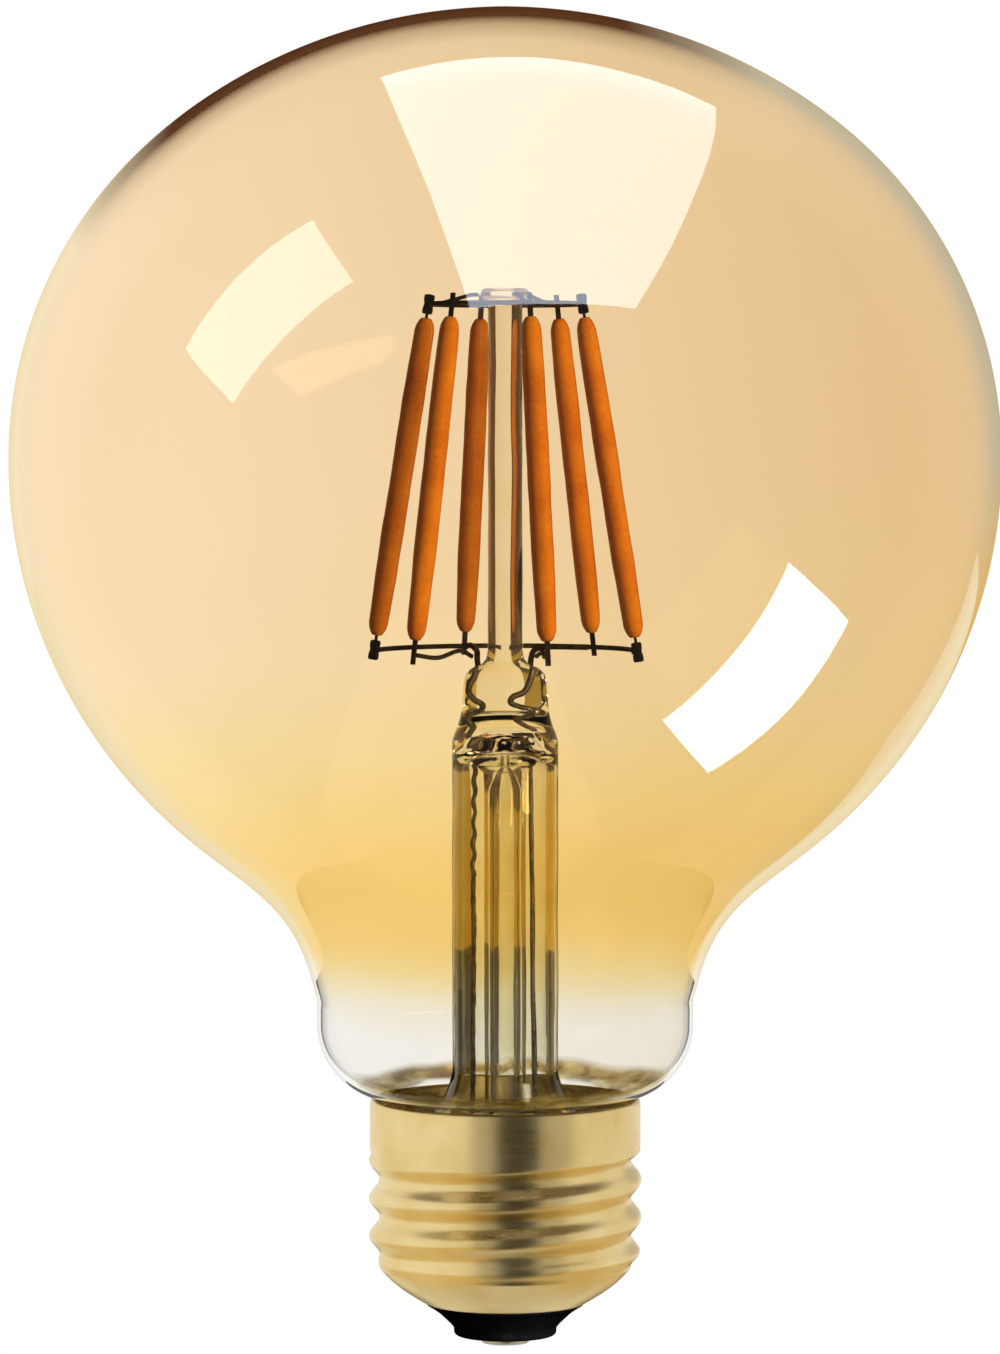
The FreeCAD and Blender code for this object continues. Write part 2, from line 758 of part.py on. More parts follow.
def thread_radius(turn, level):
    """The shell's outer radius: a rounded right-hand thread that fades at both ends."""
    bottom, top = size(THREAD_BOTTOM), size(THREAD_TOP)
    runout = size("thread_runout")
    phase = 2 * math.pi * (level - size("thread_phase_level")) / size("thread_pitch") - turn
    wave = (1 + math.cos(phase)) / 2 * smooth_step((level - bottom) / runout)
    threaded = size(THREAD_ROOT) + size("thread_depth") * wave
    share = smooth_step((level - top + runout) / runout)
    return threaded * (1 - share) + size(COLLAR) * share


def thread_face(start_turn, inset):
    """Half a turn of the rolled wall's surface."""
    bottom, top = size(THREAD_BOTTOM), size(THREAD_TOP)
    rows = []
    for row in range(THREAD_ROWS + 1):
        level = bottom + (top - bottom) * row / THREAD_ROWS
        points = []
        for column in range(THREAD_COLUMNS + 1):
            turn = start_turn + math.pi * column / THREAD_COLUMNS
            radius = thread_radius(turn, level) - inset
            points.append(Vector(radius * math.cos(turn), radius * math.sin(turn), level))
        rows.append(points)
    surface = Part.BSplineSurface()
    surface.interpolate(rows)
    return surface.toShape()


def half_turns(edges):
    """The faces that edges in the XZ plane sweep in two half turns."""
    faces = []
    for edge in edges:
        for start in (0, 180):
            turned_edge = edge.copy()
            turned_edge.rotate(ORIGIN, Z_AXIS, start)
            faces += turned_edge.revolve(ORIGIN, Z_AXIS, 180).Faces
    return faces


def line(start, end):
    return Part.makeLine(Vector(start[0], 0, start[1]), Vector(end[0], 0, end[1]))


def bowed(start, end, sagitta):
    """An arc from start to end in the XZ plane that bows downwards and outwards."""
    start, end = Vector(start[0], 0, start[1]), Vector(end[0], 0, end[1])
    chord = end - start
    out = Vector(-chord.z, 0, chord.x).normalize()
    return Part.Arc(start, start + chord * 0.5 + out * sagitta, end).toShape()


def make_screw_shell():
    """Thin brass, rolled into a thread, with a plain collar above and a rounded taper below."""
    wall = size("shell_wall")
    collar = size(COLLAR)
    root = size(THREAD_ROOT)
    top, rim = size(THREAD_TOP), size(RIM_LEVEL)
    bottom, lip = size(THREAD_BOTTOM), size("shell_lip_level")
    lip_radius = size("shell_lip_radius")
    step = 2 * wall
    edges = [
        line((collar, top), (collar, rim)),
        line((collar, rim), (collar - wall, rim)),
        line((collar - wall, rim), (collar - wall, top)),
        line((root, bottom), (root - step, bottom - wall)),
        bowed((root - step, bottom - wall), (lip_radius, lip), -step),
        line((lip_radius, lip), (lip_radius, lip + wall)),
        bowed((lip_radius, lip + wall), (root - step - wall, bottom), step),
        line((root - step - wall, bottom), (root - wall, bottom)),
    ]
    faces = half_turns(edges)
    for start_turn in (0, math.pi):
        for inset in (0, wall):
            faces.append(thread_face(start_turn, inset))
    joined = faces[0].generalFuse(faces[1:], 0.002)[0]
    shell = Part.Shell(joined.Faces)
    shell.sewShape()
    shape_node("screw_shell", Part.Solid(Part.Shell(shell.Faces)))


def make_cement():
    """The ring of cement between the glass neck and the collar."""
    inner = SKIRT + " + cement_gap"
    outer = COLLAR + " - shell_wall - cement_gap"
    foot = SEAL_LEVEL + " + cement_drop"
    top = RIM_LEVEL + " - cement_drop"
    turned_body("basing_cement", [(inner, foot), (outer, foot), (outer, top), (inner, top)])


def make_insulator():
    """Black glass, moulded round the shell's lip, with a hole for the eyelet."""
    hole = "eyelet_radius + seat_gap"
    foot = "contact_thickness"
    plug_top = PLUG_FOOT + " + insulator_plug_height"
    turned_body(
        "insulator",
        [
            (hole, foot),
            ("insulator_tip_radius", foot),
            ("insulator_tip_radius", foot + " + insulator_lip_height"),
            (INSULATOR_RIM, "shell_lip_level - seat_gap"),
            (INSULATOR_RIM, plug_top),
            (hole, plug_top),
        ],
    )


def make_contact():
    """The centre contact: a brass eyelet through the insulator, and the solder that fills it."""
    turned_body(
        "centre_contact",
        [
            ("eyelet_bore_radius", "0"),
            ("contact_radius", "0"),
            ("contact_radius", "contact_thickness"),
            ("eyelet_radius", "contact_thickness"),
            ("eyelet_radius", "contact_thickness + eyelet_height"),
            ("eyelet_bore_radius", "contact_thickness + eyelet_height"),
        ],
    )
    solder = primitive(
        "Cylinder",
        "contact_solder",
        Radius="eyelet_bore_radius - weld_gap",
        Height="contact_thickness + eyelet_height / 2",
    )
    move_to(solder, "0", "0", "seat_gap")
    keep("contact_solder", solder)


# --- driver electronics --------------------------------------------------------------------


def box_node(label, x, y, z, **sizes):
    """A box sub-part with its corner at x, y, z."""
    box = primitive("Box", label, **sizes)
    move_to(box, x, y, z)
    return keep(label, box)


def make_driver():
    """A round driver board across the cap, with its larger parts hanging under it."""
    board = primitive("Cylinder", "driver_board", Radius=BOARD_RADIUS, Height="board_thickness")
    move_to(board, "0", "0", BOARD_LEVEL)
    keep("driver_board", board)

    capacitor = primitive(
        "Cylinder", "smoothing_capacitor", Radius="capacitor_radius", Height="capacitor_height"
    )
    foot = BOARD_FOOT + " - capacitor_height"
    move_to(capacitor, "-capacitor_radius * 1.55", "-capacitor_radius * 0.6", foot)
    keep("smoothing_capacitor", capacitor)

    inductor = primitive(
        "Cylinder", "inductor", Radius="inductor_radius", Height="inductor_height"
    )
    foot = BOARD_FOOT + " - inductor_height"
    move_to(inductor, "inductor_radius * 2.2", "-inductor_radius * 1.2", foot)
    keep("inductor", inductor)

    box_node(
        "bridge_rectifier",
        "-bridge_length / 2",
        f"-{BOARD_RADIUS} * 0.75",
        BOARD_TOP,
        Length="bridge_length",
        Width="bridge_width",
        Height="bridge_height",
    )
    box_node(
        "driver_ic",
        "-ic_length / 2",
        f"{BOARD_RADIUS} * 0.3",
        BOARD_TOP,
        Length="ic_length",
        Width="ic_width",
        Height="ic_height",
    )
    resistor = primitive(
        "Cylinder", "fusible_resistor", Radius="resistor_radius", Height="resistor_length"
    )
    lying = FreeCAD.Rotation(Vector(1, 0, 0), 90)
    beside = f"{BOARD_RADIUS} * 0.62"
    move_to(resistor, beside, "resistor_length / 2", BOARD_TOP + " + resistor_radius", lying)
    keep("fusible_resistor", resistor)


def make_wireless():
    """The wireless board stands under the driver board and carries a shield can and an antenna."""
    foot = BOARD_FOOT + " - wireless_height"
    board_face = "capacitor_radius * 0.6 + 1"
    box_node(
        "wireless_board",
        "-wireless_length / 2",
        board_face,
        foot,
        Length="wireless_length",
        Width="wireless_thickness",
        Height="wireless_height",
    )
    can = primitive(
        "Box", "ShieldBlock", Length="shield_length", Width="shield_depth", Height="shield_height"
    )
    hollow = primitive(
        "Box",
        "ShieldHollow",
        Length="shield_length - 2 * shield_wall",
        Width="shield_depth",
        Height="shield_height - 2 * shield_wall",
    )
    back = board_face + " + wireless_thickness + weld_gap"
    left = "-wireless_length / 2 + shield_inset"
    up = foot + " + (wireless_height - shield_height) / 2"
    move_to(can, left, back, up)
    move_to(hollow, left + " + shield_wall", back + " - shield_wall", up + " + shield_wall")
    cut_node("wireless_shield", can, [hollow])
    make_antenna(board_face, foot)


def make_antenna(board_face, foot):
    """A quarter-wave wire that leaves the wireless board's end and follows the cap's wall."""
    radius = size("antenna_wire_radius")
    level = size(foot + " + wireless_height / 2")
    start = Vector(
        size("wireless_length / 2 + weld_gap") + radius,
        size(board_face + " + wireless_thickness / 2"),
        level,
    )
    path = [start]
    path_radius = size(SHELL_BORE + " - antenna_clearance")
    for step in range(ANTENNA_STEPS):
        path.append(at_angle(path_radius, ANTENNA_START + ANTENNA_STEP_ANGLE * step, level))
    shape_node("antenna_wire", bent_rod(path, radius, size("antenna_bend_radius")))


def make_mains_wires():
    """The live wire rises from the eyelet; the neutral wire is soldered inside the shell."""
    live_foot = "(seat_gap + contact_thickness + eyelet_height / 2 + weld_gap)"
    live = primitive(
        "Cylinder",
        "live_wire",
        Radius="mains_wire_radius",
        Height=f"{BOARD_LEVEL} - weld_gap - {live_foot}",
    )
    move_to(live, "0", "0", live_foot)
    keep("live_wire", live)

    solder = primitive("Sphere", "shell_solder", Radius="solder_radius")
    reach = f"({SHELL_BORE} - solder_radius - seat_gap)"
    level = f"({BOARD_TOP} + neutral_rise)"
    move_to(solder, "0", "-" + reach, level)
    keep("shell_solder", solder)

    radius = size("neutral_wire_radius")
    standing = -size(BOARD_RADIUS + " - 2.2 * solder_radius")
    wall_end = -size(reach + " - solder_radius - weld_gap")
    neutral = [
        Vector(0, standing, size(BOARD_TOP)),
        Vector(0, standing, size(level)),
        Vector(0, wall_end, size(level)),
    ]
    shape_node("neutral_wire", bent_rod(neutral, radius, 2 * radius))


def check_nodes():
    """Stop if any object failed or a sub-part is not a valid solid."""
    faults = []
    for thing in doc.Objects:
        if "Invalid" in thing.State or "Error" in thing.State:
            faults.append(thing.Label + " failed: " + thing.getStatusString())
    for thing in nodes:
        shape = thing.Shape
        if shape.isNull() or not shape.isValid() or not shape.Solids:
            faults.append(thing.Label + " has no valid solid")
    if faults:
        raise RuntimeError("; ".join(faults))


def main():
    fill_sheet()
    make_globe_envelope()
    make_stem()
    make_filaments()
    make_upper_supports()
    make_bus_wires()
    doc.recompute()
    make_crimps()
    make_leads()
    make_screw_shell()
    make_cement()
    make_insulator()
    make_contact()
    make_driver()
    make_wireless()
    make_mains_wires()
    doc.recompute()
    check_nodes()
    os.makedirs("parts", exist_ok=True)
    for thing in nodes:
        thing.Shape.exportStep("parts/%s.step" % thing.Label)


main()
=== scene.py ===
import json
import math

import bmesh
import bpy
from mathutils import Matrix, Vector, noise


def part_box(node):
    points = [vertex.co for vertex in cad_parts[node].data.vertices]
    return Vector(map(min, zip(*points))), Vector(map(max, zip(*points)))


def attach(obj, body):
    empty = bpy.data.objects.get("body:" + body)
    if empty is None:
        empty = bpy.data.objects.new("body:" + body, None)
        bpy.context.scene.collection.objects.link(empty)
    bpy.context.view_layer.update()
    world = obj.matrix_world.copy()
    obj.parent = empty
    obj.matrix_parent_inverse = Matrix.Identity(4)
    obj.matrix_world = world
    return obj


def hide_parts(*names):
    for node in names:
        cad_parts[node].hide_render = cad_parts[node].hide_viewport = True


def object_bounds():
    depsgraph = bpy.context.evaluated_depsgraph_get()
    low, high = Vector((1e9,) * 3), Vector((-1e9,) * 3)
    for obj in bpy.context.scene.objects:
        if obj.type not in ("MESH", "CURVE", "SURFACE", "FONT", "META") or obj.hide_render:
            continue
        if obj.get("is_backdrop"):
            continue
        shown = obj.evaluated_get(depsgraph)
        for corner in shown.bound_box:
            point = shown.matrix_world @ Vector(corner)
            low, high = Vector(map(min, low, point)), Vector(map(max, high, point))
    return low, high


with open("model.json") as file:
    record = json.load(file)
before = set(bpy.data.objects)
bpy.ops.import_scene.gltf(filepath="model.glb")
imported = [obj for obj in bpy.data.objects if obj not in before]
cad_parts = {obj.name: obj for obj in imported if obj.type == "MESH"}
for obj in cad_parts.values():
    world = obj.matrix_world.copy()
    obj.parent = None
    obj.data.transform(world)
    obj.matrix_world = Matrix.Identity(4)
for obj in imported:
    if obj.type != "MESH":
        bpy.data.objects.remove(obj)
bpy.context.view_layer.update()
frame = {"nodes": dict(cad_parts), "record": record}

# A globe filament bulb around its CAD frame. Shapes are worked out in millimetres from the CAD
# nodes' boxes and written in metres. +Z runs up the axis and the camera looks along +Y.

MM = 0.001
scene = bpy.context.scene


def level(node, top):
    """The lowest or highest level of a CAD node, in millimetres."""
    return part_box(node)[1 if top else 0].z / MM


def reach(node):
    """The largest distance of a CAD node from the YZ plane, in millimetres."""
    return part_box(node)[1].x / MM


# --- levels and radii taken from the CAD nodes ---------------------------------------------

CROWN = level("globe_envelope", True)
SEAL = level("globe_envelope", False)
GLOBE = reach("globe_envelope")
GLASS_WALL = 0.7
CROWN_RISE = 43.3
CROWN_FLATNESS = 2.3
WIDEST = CROWN - CROWN_RISE
SHOULDER = 13.0
NECK = 18.1
NECK_ROUND = 7.25
NECK_STRAIGHT = 2.4
SKIRT = 12.1
RIM = level("screw_shell", True)
TUBE = 5.1
TUBE_WALL = 0.9
PINCH_FOOT = level("stem_pinch", False)
PINCH_TOP = level("stem_pinch", True)
ROD = reach("support_rod")
ROD_TOP = level("support_rod", True)
BUTTON_TOP = level("rod_button", True)
BUTTON = reach("rod_button")
EXHAUST = reach("exhaust_tube")
EXHAUST_WALL = 0.6
EXHAUST_TIP = level("exhaust_tube", False)
CAGE_FOOT_RADIUS = 12.7
CAGE_TOP_RADIUS = 7.75
CAGE_FOOT = PINCH_TOP + 2.7
CAGE_HEIGHT = 30.6
CAGE_LEAN = math.atan((CAGE_FOOT_RADIUS - CAGE_TOP_RADIUS) / CAGE_HEIGHT)
FILAMENT_LENGTH = math.hypot(CAGE_FOOT_RADIUS - CAGE_TOP_RADIUS, CAGE_HEIGHT)
BUS_LEVEL = PINCH_TOP + 1.3
TOP_RING_LEVEL = CAGE_FOOT + CAGE_HEIGHT + 1.3
SLEEVE = 1.12
SLEEVE_END = 0.62
SLEEVE_NOSE = 1.3
SLEEVE_TAPER = 9.0  # length over which a sleeve draws in towards each end
SLEEVE_SLIM = 0.84
SLEEVE_STEP = 0.5
FIRST_ANGLE = 168.0
FILAMENT_COUNT = 6
FILAMENT_TURN = 360 / FILAMENT_COUNT
OUTER_FILAMENTS = (1, 4)
LEAD = 0.22
BOARD_TOP = level("driver_board", True)

# --- mesh helpers --------------------------------------------------------------------------


def add_object(name, bm):
    """A smooth-shaded object from a bmesh in millimetres, written in metres."""
    bmesh.ops.recalc_face_normals(bm, faces=bm.faces)
    bmesh.ops.scale(bm, vec=(MM, MM, MM), verts=bm.verts)
    mesh = bpy.data.meshes.new(name)
    bm.to_mesh(mesh)
    bm.free()
    for polygon in mesh.polygons:
        polygon.use_smooth = True
    thing = bpy.data.objects.new(name, mesh)
    scene.collection.objects.link(thing)
    return thing


def skin(name, rings, closed=False):
    """Faces between rings of points. A ring of one point is a pole, and closed joins the ends."""
    bm = bmesh.new()
    made = [[bm.verts.new(point) for point in ring] for ring in rings]
    pairs = list(zip(made, made[1:]))
    if closed:
        pairs.append((made[-1], made[0]))
    for low, high in pairs:
        count = max(len(low), len(high))
        if count == 1:
            continue
        for i in range(count):
            j = (i + 1) % count
            corners = [low[i % len(low)], low[j % len(low)], high[j % len(high)], high[i % len(high)]]
            bm.faces.new(list(dict.fromkeys(corners)))
    return add_object(name, bm)


def ring(radius, height, steps, depth=None, wave=0.0, seed=0.0):
    """A round or elliptical ring of points, with a slow unevenness of wave millimetres."""
    if radius < 1e-6:
        return [(0, 0, height)]
    points = []
    for step in range(steps):
        angle = 2 * math.pi * step / steps
        place = Vector((math.cos(angle) * 1.3, math.sin(angle) * 1.3, height / 6 + seed))
        swell = 1 + wave / radius * noise.noise(place)
        across = (depth if depth is not None else radius) * swell
        points.append((radius * swell * math.cos(angle), across * math.sin(angle), height))
    return points


def lathe(name, profile, steps=192, closed=True, wave=0.0, seed=0.0):
    """A turned piece from (radius, height) points in millimetres."""
    rings = [ring(radius, height, steps, wave=wave, seed=seed) for radius, height in profile]
    return skin(name, rings, closed)


def arc(start, end, radius, bow, count=14):
    """Points along the short arc between two points. bow 1 puts its centre on the left."""
    across, up = end[0] - start[0], end[1] - start[1]
    chord = math.hypot(across, up)
    height = math.sqrt(max(radius ** 2 - (chord / 2) ** 2, 0))
    centre_x = (start[0] + end[0]) / 2 - bow * up / chord * height
    centre_y = (start[1] + end[1]) / 2 + bow * across / chord * height
    first = math.atan2(start[1] - centre_y, start[0] - centre_x)
    turn = math.atan2(end[1] - centre_y, end[0] - centre_x) - first
    turn = (turn + math.pi) % (2 * math.pi) - math.pi
    return [
        (centre_x + radius * math.cos(first + turn * i / count),
         centre_y + radius * math.sin(first + turn * i / count))
        for i in range(count + 1)
    ]


def even(points, gap):
    """The same line with points at even gaps."""
    lengths = [0.0]
    for a, b in zip(points, points[1:]):
        lengths.append(lengths[-1] + math.dist(a, b))
    count = max(2, round(lengths[-1] / gap))
    result, at = [], 0
    for i in range(count + 1):
        goal = lengths[-1] * i / count
        while at < len(points) - 2 and lengths[at + 1] < goal:
            at += 1
        span = lengths[at + 1] - lengths[at] or 1
        share = (goal - lengths[at]) / span
        result.append(tuple(a + (b - a) * share for a, b in zip(points[at], points[at + 1])))
    return result


def smooth_path(points, gap=0.15):
    """A Catmull-Rom curve through the points, at even gaps."""
    points = [Vector(point) for point in points]
    ends = [2 * points[0] - points[1]] + points + [2 * points[-1] - points[-2]]
    fine = []
    for a, b, c, d in zip(ends, ends[1:], ends[2:], ends[3:]):
        for i in range(16):
            t = i / 16
            fine.append(0.5 * (2 * b + (c - a) * t + (2 * a - 5 * b + 4 * c - d) * t ** 2
                               + (3 * b - a - 3 * c + d) * t ** 3))
    fine.append(points[-1])
    return [Vector(point) for point in even([tuple(point) for point in fine], gap)]


def wire(name, points, radius, steps=14, wobble=0.0):
    """A round wire with domed ends along a smooth path, in millimetres."""
    path = smooth_path(points)
    rings = []
    side = None
    for i, place in enumerate(path):
        ahead = (path[min(i + 1, len(path) - 1)] - path[max(i - 1, 0)]).normalized()
        if side is None:
            side = ahead.orthogonal().normalized()
        side = (side - ahead * side.dot(ahead)).normalized()
        other = ahead.cross(side)
        thick = radius * (1 + wobble * noise.noise(place * 1.5))
        rings.append([
            tuple(place + thick * (side * math.cos(2 * math.pi * k / steps)
                                   + other * math.sin(2 * math.pi * k / steps)))
            for k in range(steps)
        ])
    first = (path[1] - path[0]).normalized()
    last = (path[-1] - path[-2]).normalized()
    rings = [[tuple(path[0] - first * radius * 0.6)]] + rings + [[tuple(path[-1] + last * radius * 0.6)]]
    return skin(name, rings)


def join(name, things):
    """Several objects as one."""
    bm = bmesh.new()
    for thing in things:
        bm.from_mesh(thing.data)
        bpy.data.objects.remove(thing)
    mesh = bpy.data.meshes.new(name)
    bm.to_mesh(mesh)
    bm.free()
    for polygon in mesh.polygons:
        polygon.use_smooth = True
    whole = bpy.data.objects.new(name, mesh)
    scene.collection.objects.link(whole)
    return whole


# --- materials -----------------------------------------------------------------------------


class Nodes:
    """A short way to write a node material over object-space coordinates, in metres."""

    def __init__(self, name):
        self.material = bpy.data.materials.new(name)
        self.material.use_nodes = True
        self.tree = self.material.node_tree
        self.tree.nodes.clear()
        self.output = self.add("ShaderNodeOutputMaterial")
        self.place = self.add("ShaderNodeTexCoord").outputs["Object"]

    def add(self, kind, **values):
        node = self.tree.nodes.new(kind)
        for key, value in values.items():
            setattr(node, key, value)
        return node

    def link(self, source, target):
        self.tree.links.new(source, target)

    def feed(self, node, **sockets):
        """Sets or links a node's inputs by name, with _ for a space."""
        for key, value in sockets.items():
            socket = node.inputs[key.replace("_", " ")]
            if isinstance(value, bpy.types.NodeSocket):
                self.link(value, socket)
            else:
                socket.default_value = value
        return node

    def noise(self, scale, detail=3.0, stretch=(1, 1, 1)):
        place = self.add("ShaderNodeMapping")
        self.link(self.place, place.inputs["Vector"])
        place.inputs["Scale"].default_value = stretch
        grain = self.add("ShaderNodeTexNoise")
        self.feed(grain, Vector=place.outputs["Vector"], Scale=scale, Detail=detail)
        return grain.outputs["Fac"]

    def ramp(self, value, stops):
        """A colour ramp. A stop is (position, colour) with a number or an rgb colour."""
        ramp = self.add("ShaderNodeValToRGB")
        self.link(value, ramp.inputs["Fac"])
        elements = ramp.color_ramp.elements
        while len(elements) < len(stops):
            elements.new(0.5)
        for element, (position, colour) in zip(elements, stops):
            element.position = position
        for element, (position, colour) in zip(elements, stops):
            rgb = (colour,) * 3 if isinstance(colour, (int, float)) else colour
            element.color = (*rgb, 1)
        return ramp.outputs["Color"]

    def range(self, value, low, high, new_low=0.0, new_high=1.0):
        node = self.add("ShaderNodeMapRange")
        self.link(value, node.inputs["Value"])
        for key, number in (("From Min", low), ("From Max", high), ("To Min", new_low), ("To Max", new_high)):
            node.inputs[key].default_value = number
        return node.outputs["Result"]

    def math(self, operation, first, second):
        node = self.add("ShaderNodeMath", operation=operation)
        for socket, value in zip(node.inputs, (first, second)):
            if isinstance(value, bpy.types.NodeSocket):
                self.link(value, socket)
            else:
                socket.default_value = value
        return node.outputs["Value"]

    def bump(self, height, strength, distance):
        node = self.add("ShaderNodeBump")
        self.feed(node, Height=height, Strength=strength, Distance=distance)
        return node.outputs["Normal"]

    def mix(self, share, first, second):
        node = self.add("ShaderNodeMixShader")
        if isinstance(share, bpy.types.NodeSocket):
            self.link(share, node.inputs["Fac"])
        else:
            node.inputs["Fac"].default_value = share
        self.link(first.outputs[0], node.inputs[1])
        self.link(second.outputs[0], node.inputs[2])
        return node

    def finish(self, shader):
        self.link(shader.outputs[0], self.output.inputs["Surface"])
        return self.material


def plain_finish(name, dark, light, rough, metallic=0.0, scale=900.0, bump=0.1, depth=0.00005,
                 coat=0.0, stretch=(1, 1, 1), speck=0.5):
    """Colour, gloss and relief that vary together over the surface."""
    n = Nodes(name)
    broad = n.noise(scale * 0.25, 4, stretch)
    fine = n.noise(scale, 6, stretch)
    share = n.math("ADD", n.math("MULTIPLY", broad, 1 - speck), n.math("MULTIPLY", fine, speck))
    shader = n.add("ShaderNodeBsdfPrincipled")
    n.feed(
        shader,
        Base_Color=n.ramp(share, [(0.32, dark), (0.68, light)]),
        Roughness=n.range(broad, 0.3, 0.7, rough[0], rough[1]),
        Metallic=metallic,
        Coat_Weight=coat,
        Normal=n.bump(fine, bump, depth),
    )
    return n.finish(shader)


def amber_lacquer(name, front_gloss, back_gloss):
    """Thin glass: amber lacquer that fades out above the neck, and gloss that grows at the rims.
    The gloss is weaker on the faces of the wall that light meets second."""
    n = Nodes(name)
    split = n.add("ShaderNodeSeparateXYZ")
    n.link(n.place, split.inputs["Vector"])
    drift = n.range(n.noise(60, 2), 0.3, 0.7, -0.0012, 0.0012)
    height = n.range(n.math("ADD", split.outputs["Z"], drift), 0.02, 0.12)
    # the share of light that one face of the wall lets through, by height
    tint = n.ramp(height, [
        (0.0, (0.995, 0.995, 0.99)),
        (0.118, (0.995, 0.993, 0.988)),
        (0.145, (0.99, 0.965, 0.89)),
        (0.18, (1.0, 0.915, 0.70)),
        (0.25, (1.0, 0.905, 0.67)),
        (0.33, (1.0, 0.93, 0.75)),
        (0.44, (1.0, 0.935, 0.815)),
        (0.65, (1.0, 0.93, 0.825)),
        (1.0, (0.992, 0.925, 0.82)),
    ])
    # painted shade: the glass is tinted darker towards its right side
    painted_right_shade = n.ramp(n.range(split.outputs["X"], -0.03, 0.048), [(0.0, 1.0), (1.0, (0.95, 0.925, 0.865))])
    tinted = n.add("ShaderNodeMix", data_type="RGBA", blend_type="MULTIPLY")
    tinted.inputs[0].default_value = 1.0
    n.link(tint, tinted.inputs[6])
    n.link(painted_right_shade, tinted.inputs[7])
    clear = n.add("ShaderNodeBsdfTransparent")
    n.link(tinted.outputs[2], clear.inputs["Color"])
    haze = n.add("ShaderNodeBsdfDiffuse")
    n.feed(haze, Color=n.ramp(n.noise(45, 3), [(0.3, (0.75, 0.62, 0.42)), (0.7, (0.95, 0.80, 0.55))]))
    veil = n.ramp(height, [(0.0, 0.0), (0.13, 0.001), (0.2, 0.003), (1.0, 0.004)])
    body = n.mix(veil, clear, haze)
    # a painted reflection: the brass cap's image, painted as a mottled brown band in the thick rounded foot
    # of the glass
    painted_cap_image = n.ramp(height, [(0.0, 0.0), (0.035, 0.0), (0.038, 0.75), (0.047, 0.7), (0.053, 0.0)])
    brown = n.add("ShaderNodeBsdfDiffuse")
    gold = n.add("ShaderNodeBsdfTransparent")
    mottle = n.noise(420, 4, (1, 1, 2.5))
    n.feed(brown, Color=n.ramp(mottle, [
        (0.36, (0.24, 0.14, 0.015)), (0.5, (0.80, 0.56, 0.10)), (0.66, (1.0, 0.90, 0.45)),
    ]))
    n.feed(gold, Color=n.ramp(mottle, [
        (0.36, (0.25, 0.16, 0.02)), (0.5, (0.60, 0.45, 0.12)), (0.66, (0.9, 0.78, 0.4)),
    ]))
    body = n.mix(painted_cap_image, body, n.mix(0.55, gold, brown))
    facing = n.add("ShaderNodeLayerWeight")
    facing.inputs["Blend"].default_value = 0.5
    # at the rims a reflection passes twice through the lacquer
    lacquered = n.ramp(height, [(0.0, 0.0), (0.12, 0.0), (0.19, 1.0), (1.0, 1.0)])
    amber_rim = n.ramp(facing.outputs["Facing"], [
        (0.0, 1.0), (0.6, 1.0), (0.78, (0.93, 0.80, 0.54)), (0.96, (0.88, 0.71, 0.41)),
        (1.0, (0.5, 0.36, 0.2)),
    ])
    clear_rim = n.ramp(facing.outputs["Facing"], [
        (0.0, 1.0), (0.8, 1.0), (0.95, (0.80, 0.80, 0.79)), (1.0, (0.3, 0.3, 0.3)),
    ])
    rim = n.add("ShaderNodeMix", data_type="RGBA")
    n.link(lacquered, rim.inputs[0])
    n.link(clear_rim, rim.inputs[6])
    n.link(amber_rim, rim.inputs[7])
    gloss = n.add("ShaderNodeBsdfGlossy")
    ripple = n.noise(55, 2, (1, 1, 0.6))
    n.feed(
        gloss,
        Color=rim.outputs[2],
        Roughness=n.range(n.noise(900, 3), 0.3, 0.7, 0.012, 0.03),
        Normal=n.bump(ripple, 0.2, 0.0003),
    )
    edge = n.ramp(facing.outputs["Facing"], [
        (0.0, 0.045), (0.5, 0.05), (0.66, 0.09), (0.75, 0.4), (0.82, 0.97), (1.0, 1.0),
    ])
    side = n.add("ShaderNodeNewGeometry").outputs["Backfacing"]
    share = n.range(side, 0.0, 1.0, front_gloss, back_gloss)
    return n.finish(n.mix(n.math("MULTIPLY", edge, share), body, gloss))


def clear_glass(name, tint, waviness):
    """Solid drawn glass with faint lengthwise cords."""
    n = Nodes(name)
    cords = n.noise(500, 3, (1, 1, 0.08))
    glass = n.add("ShaderNodeBsdfGlass")
    n.feed(
        glass,
        Color=n.ramp(n.noise(140, 2), [(0.3, tint), (0.7, (0.985, 0.99, 0.98))]),
        Roughness=0.0,
        IOR=1.5,
        Normal=n.bump(cords, waviness, 0.0001),
    )
    return n.finish(glass)


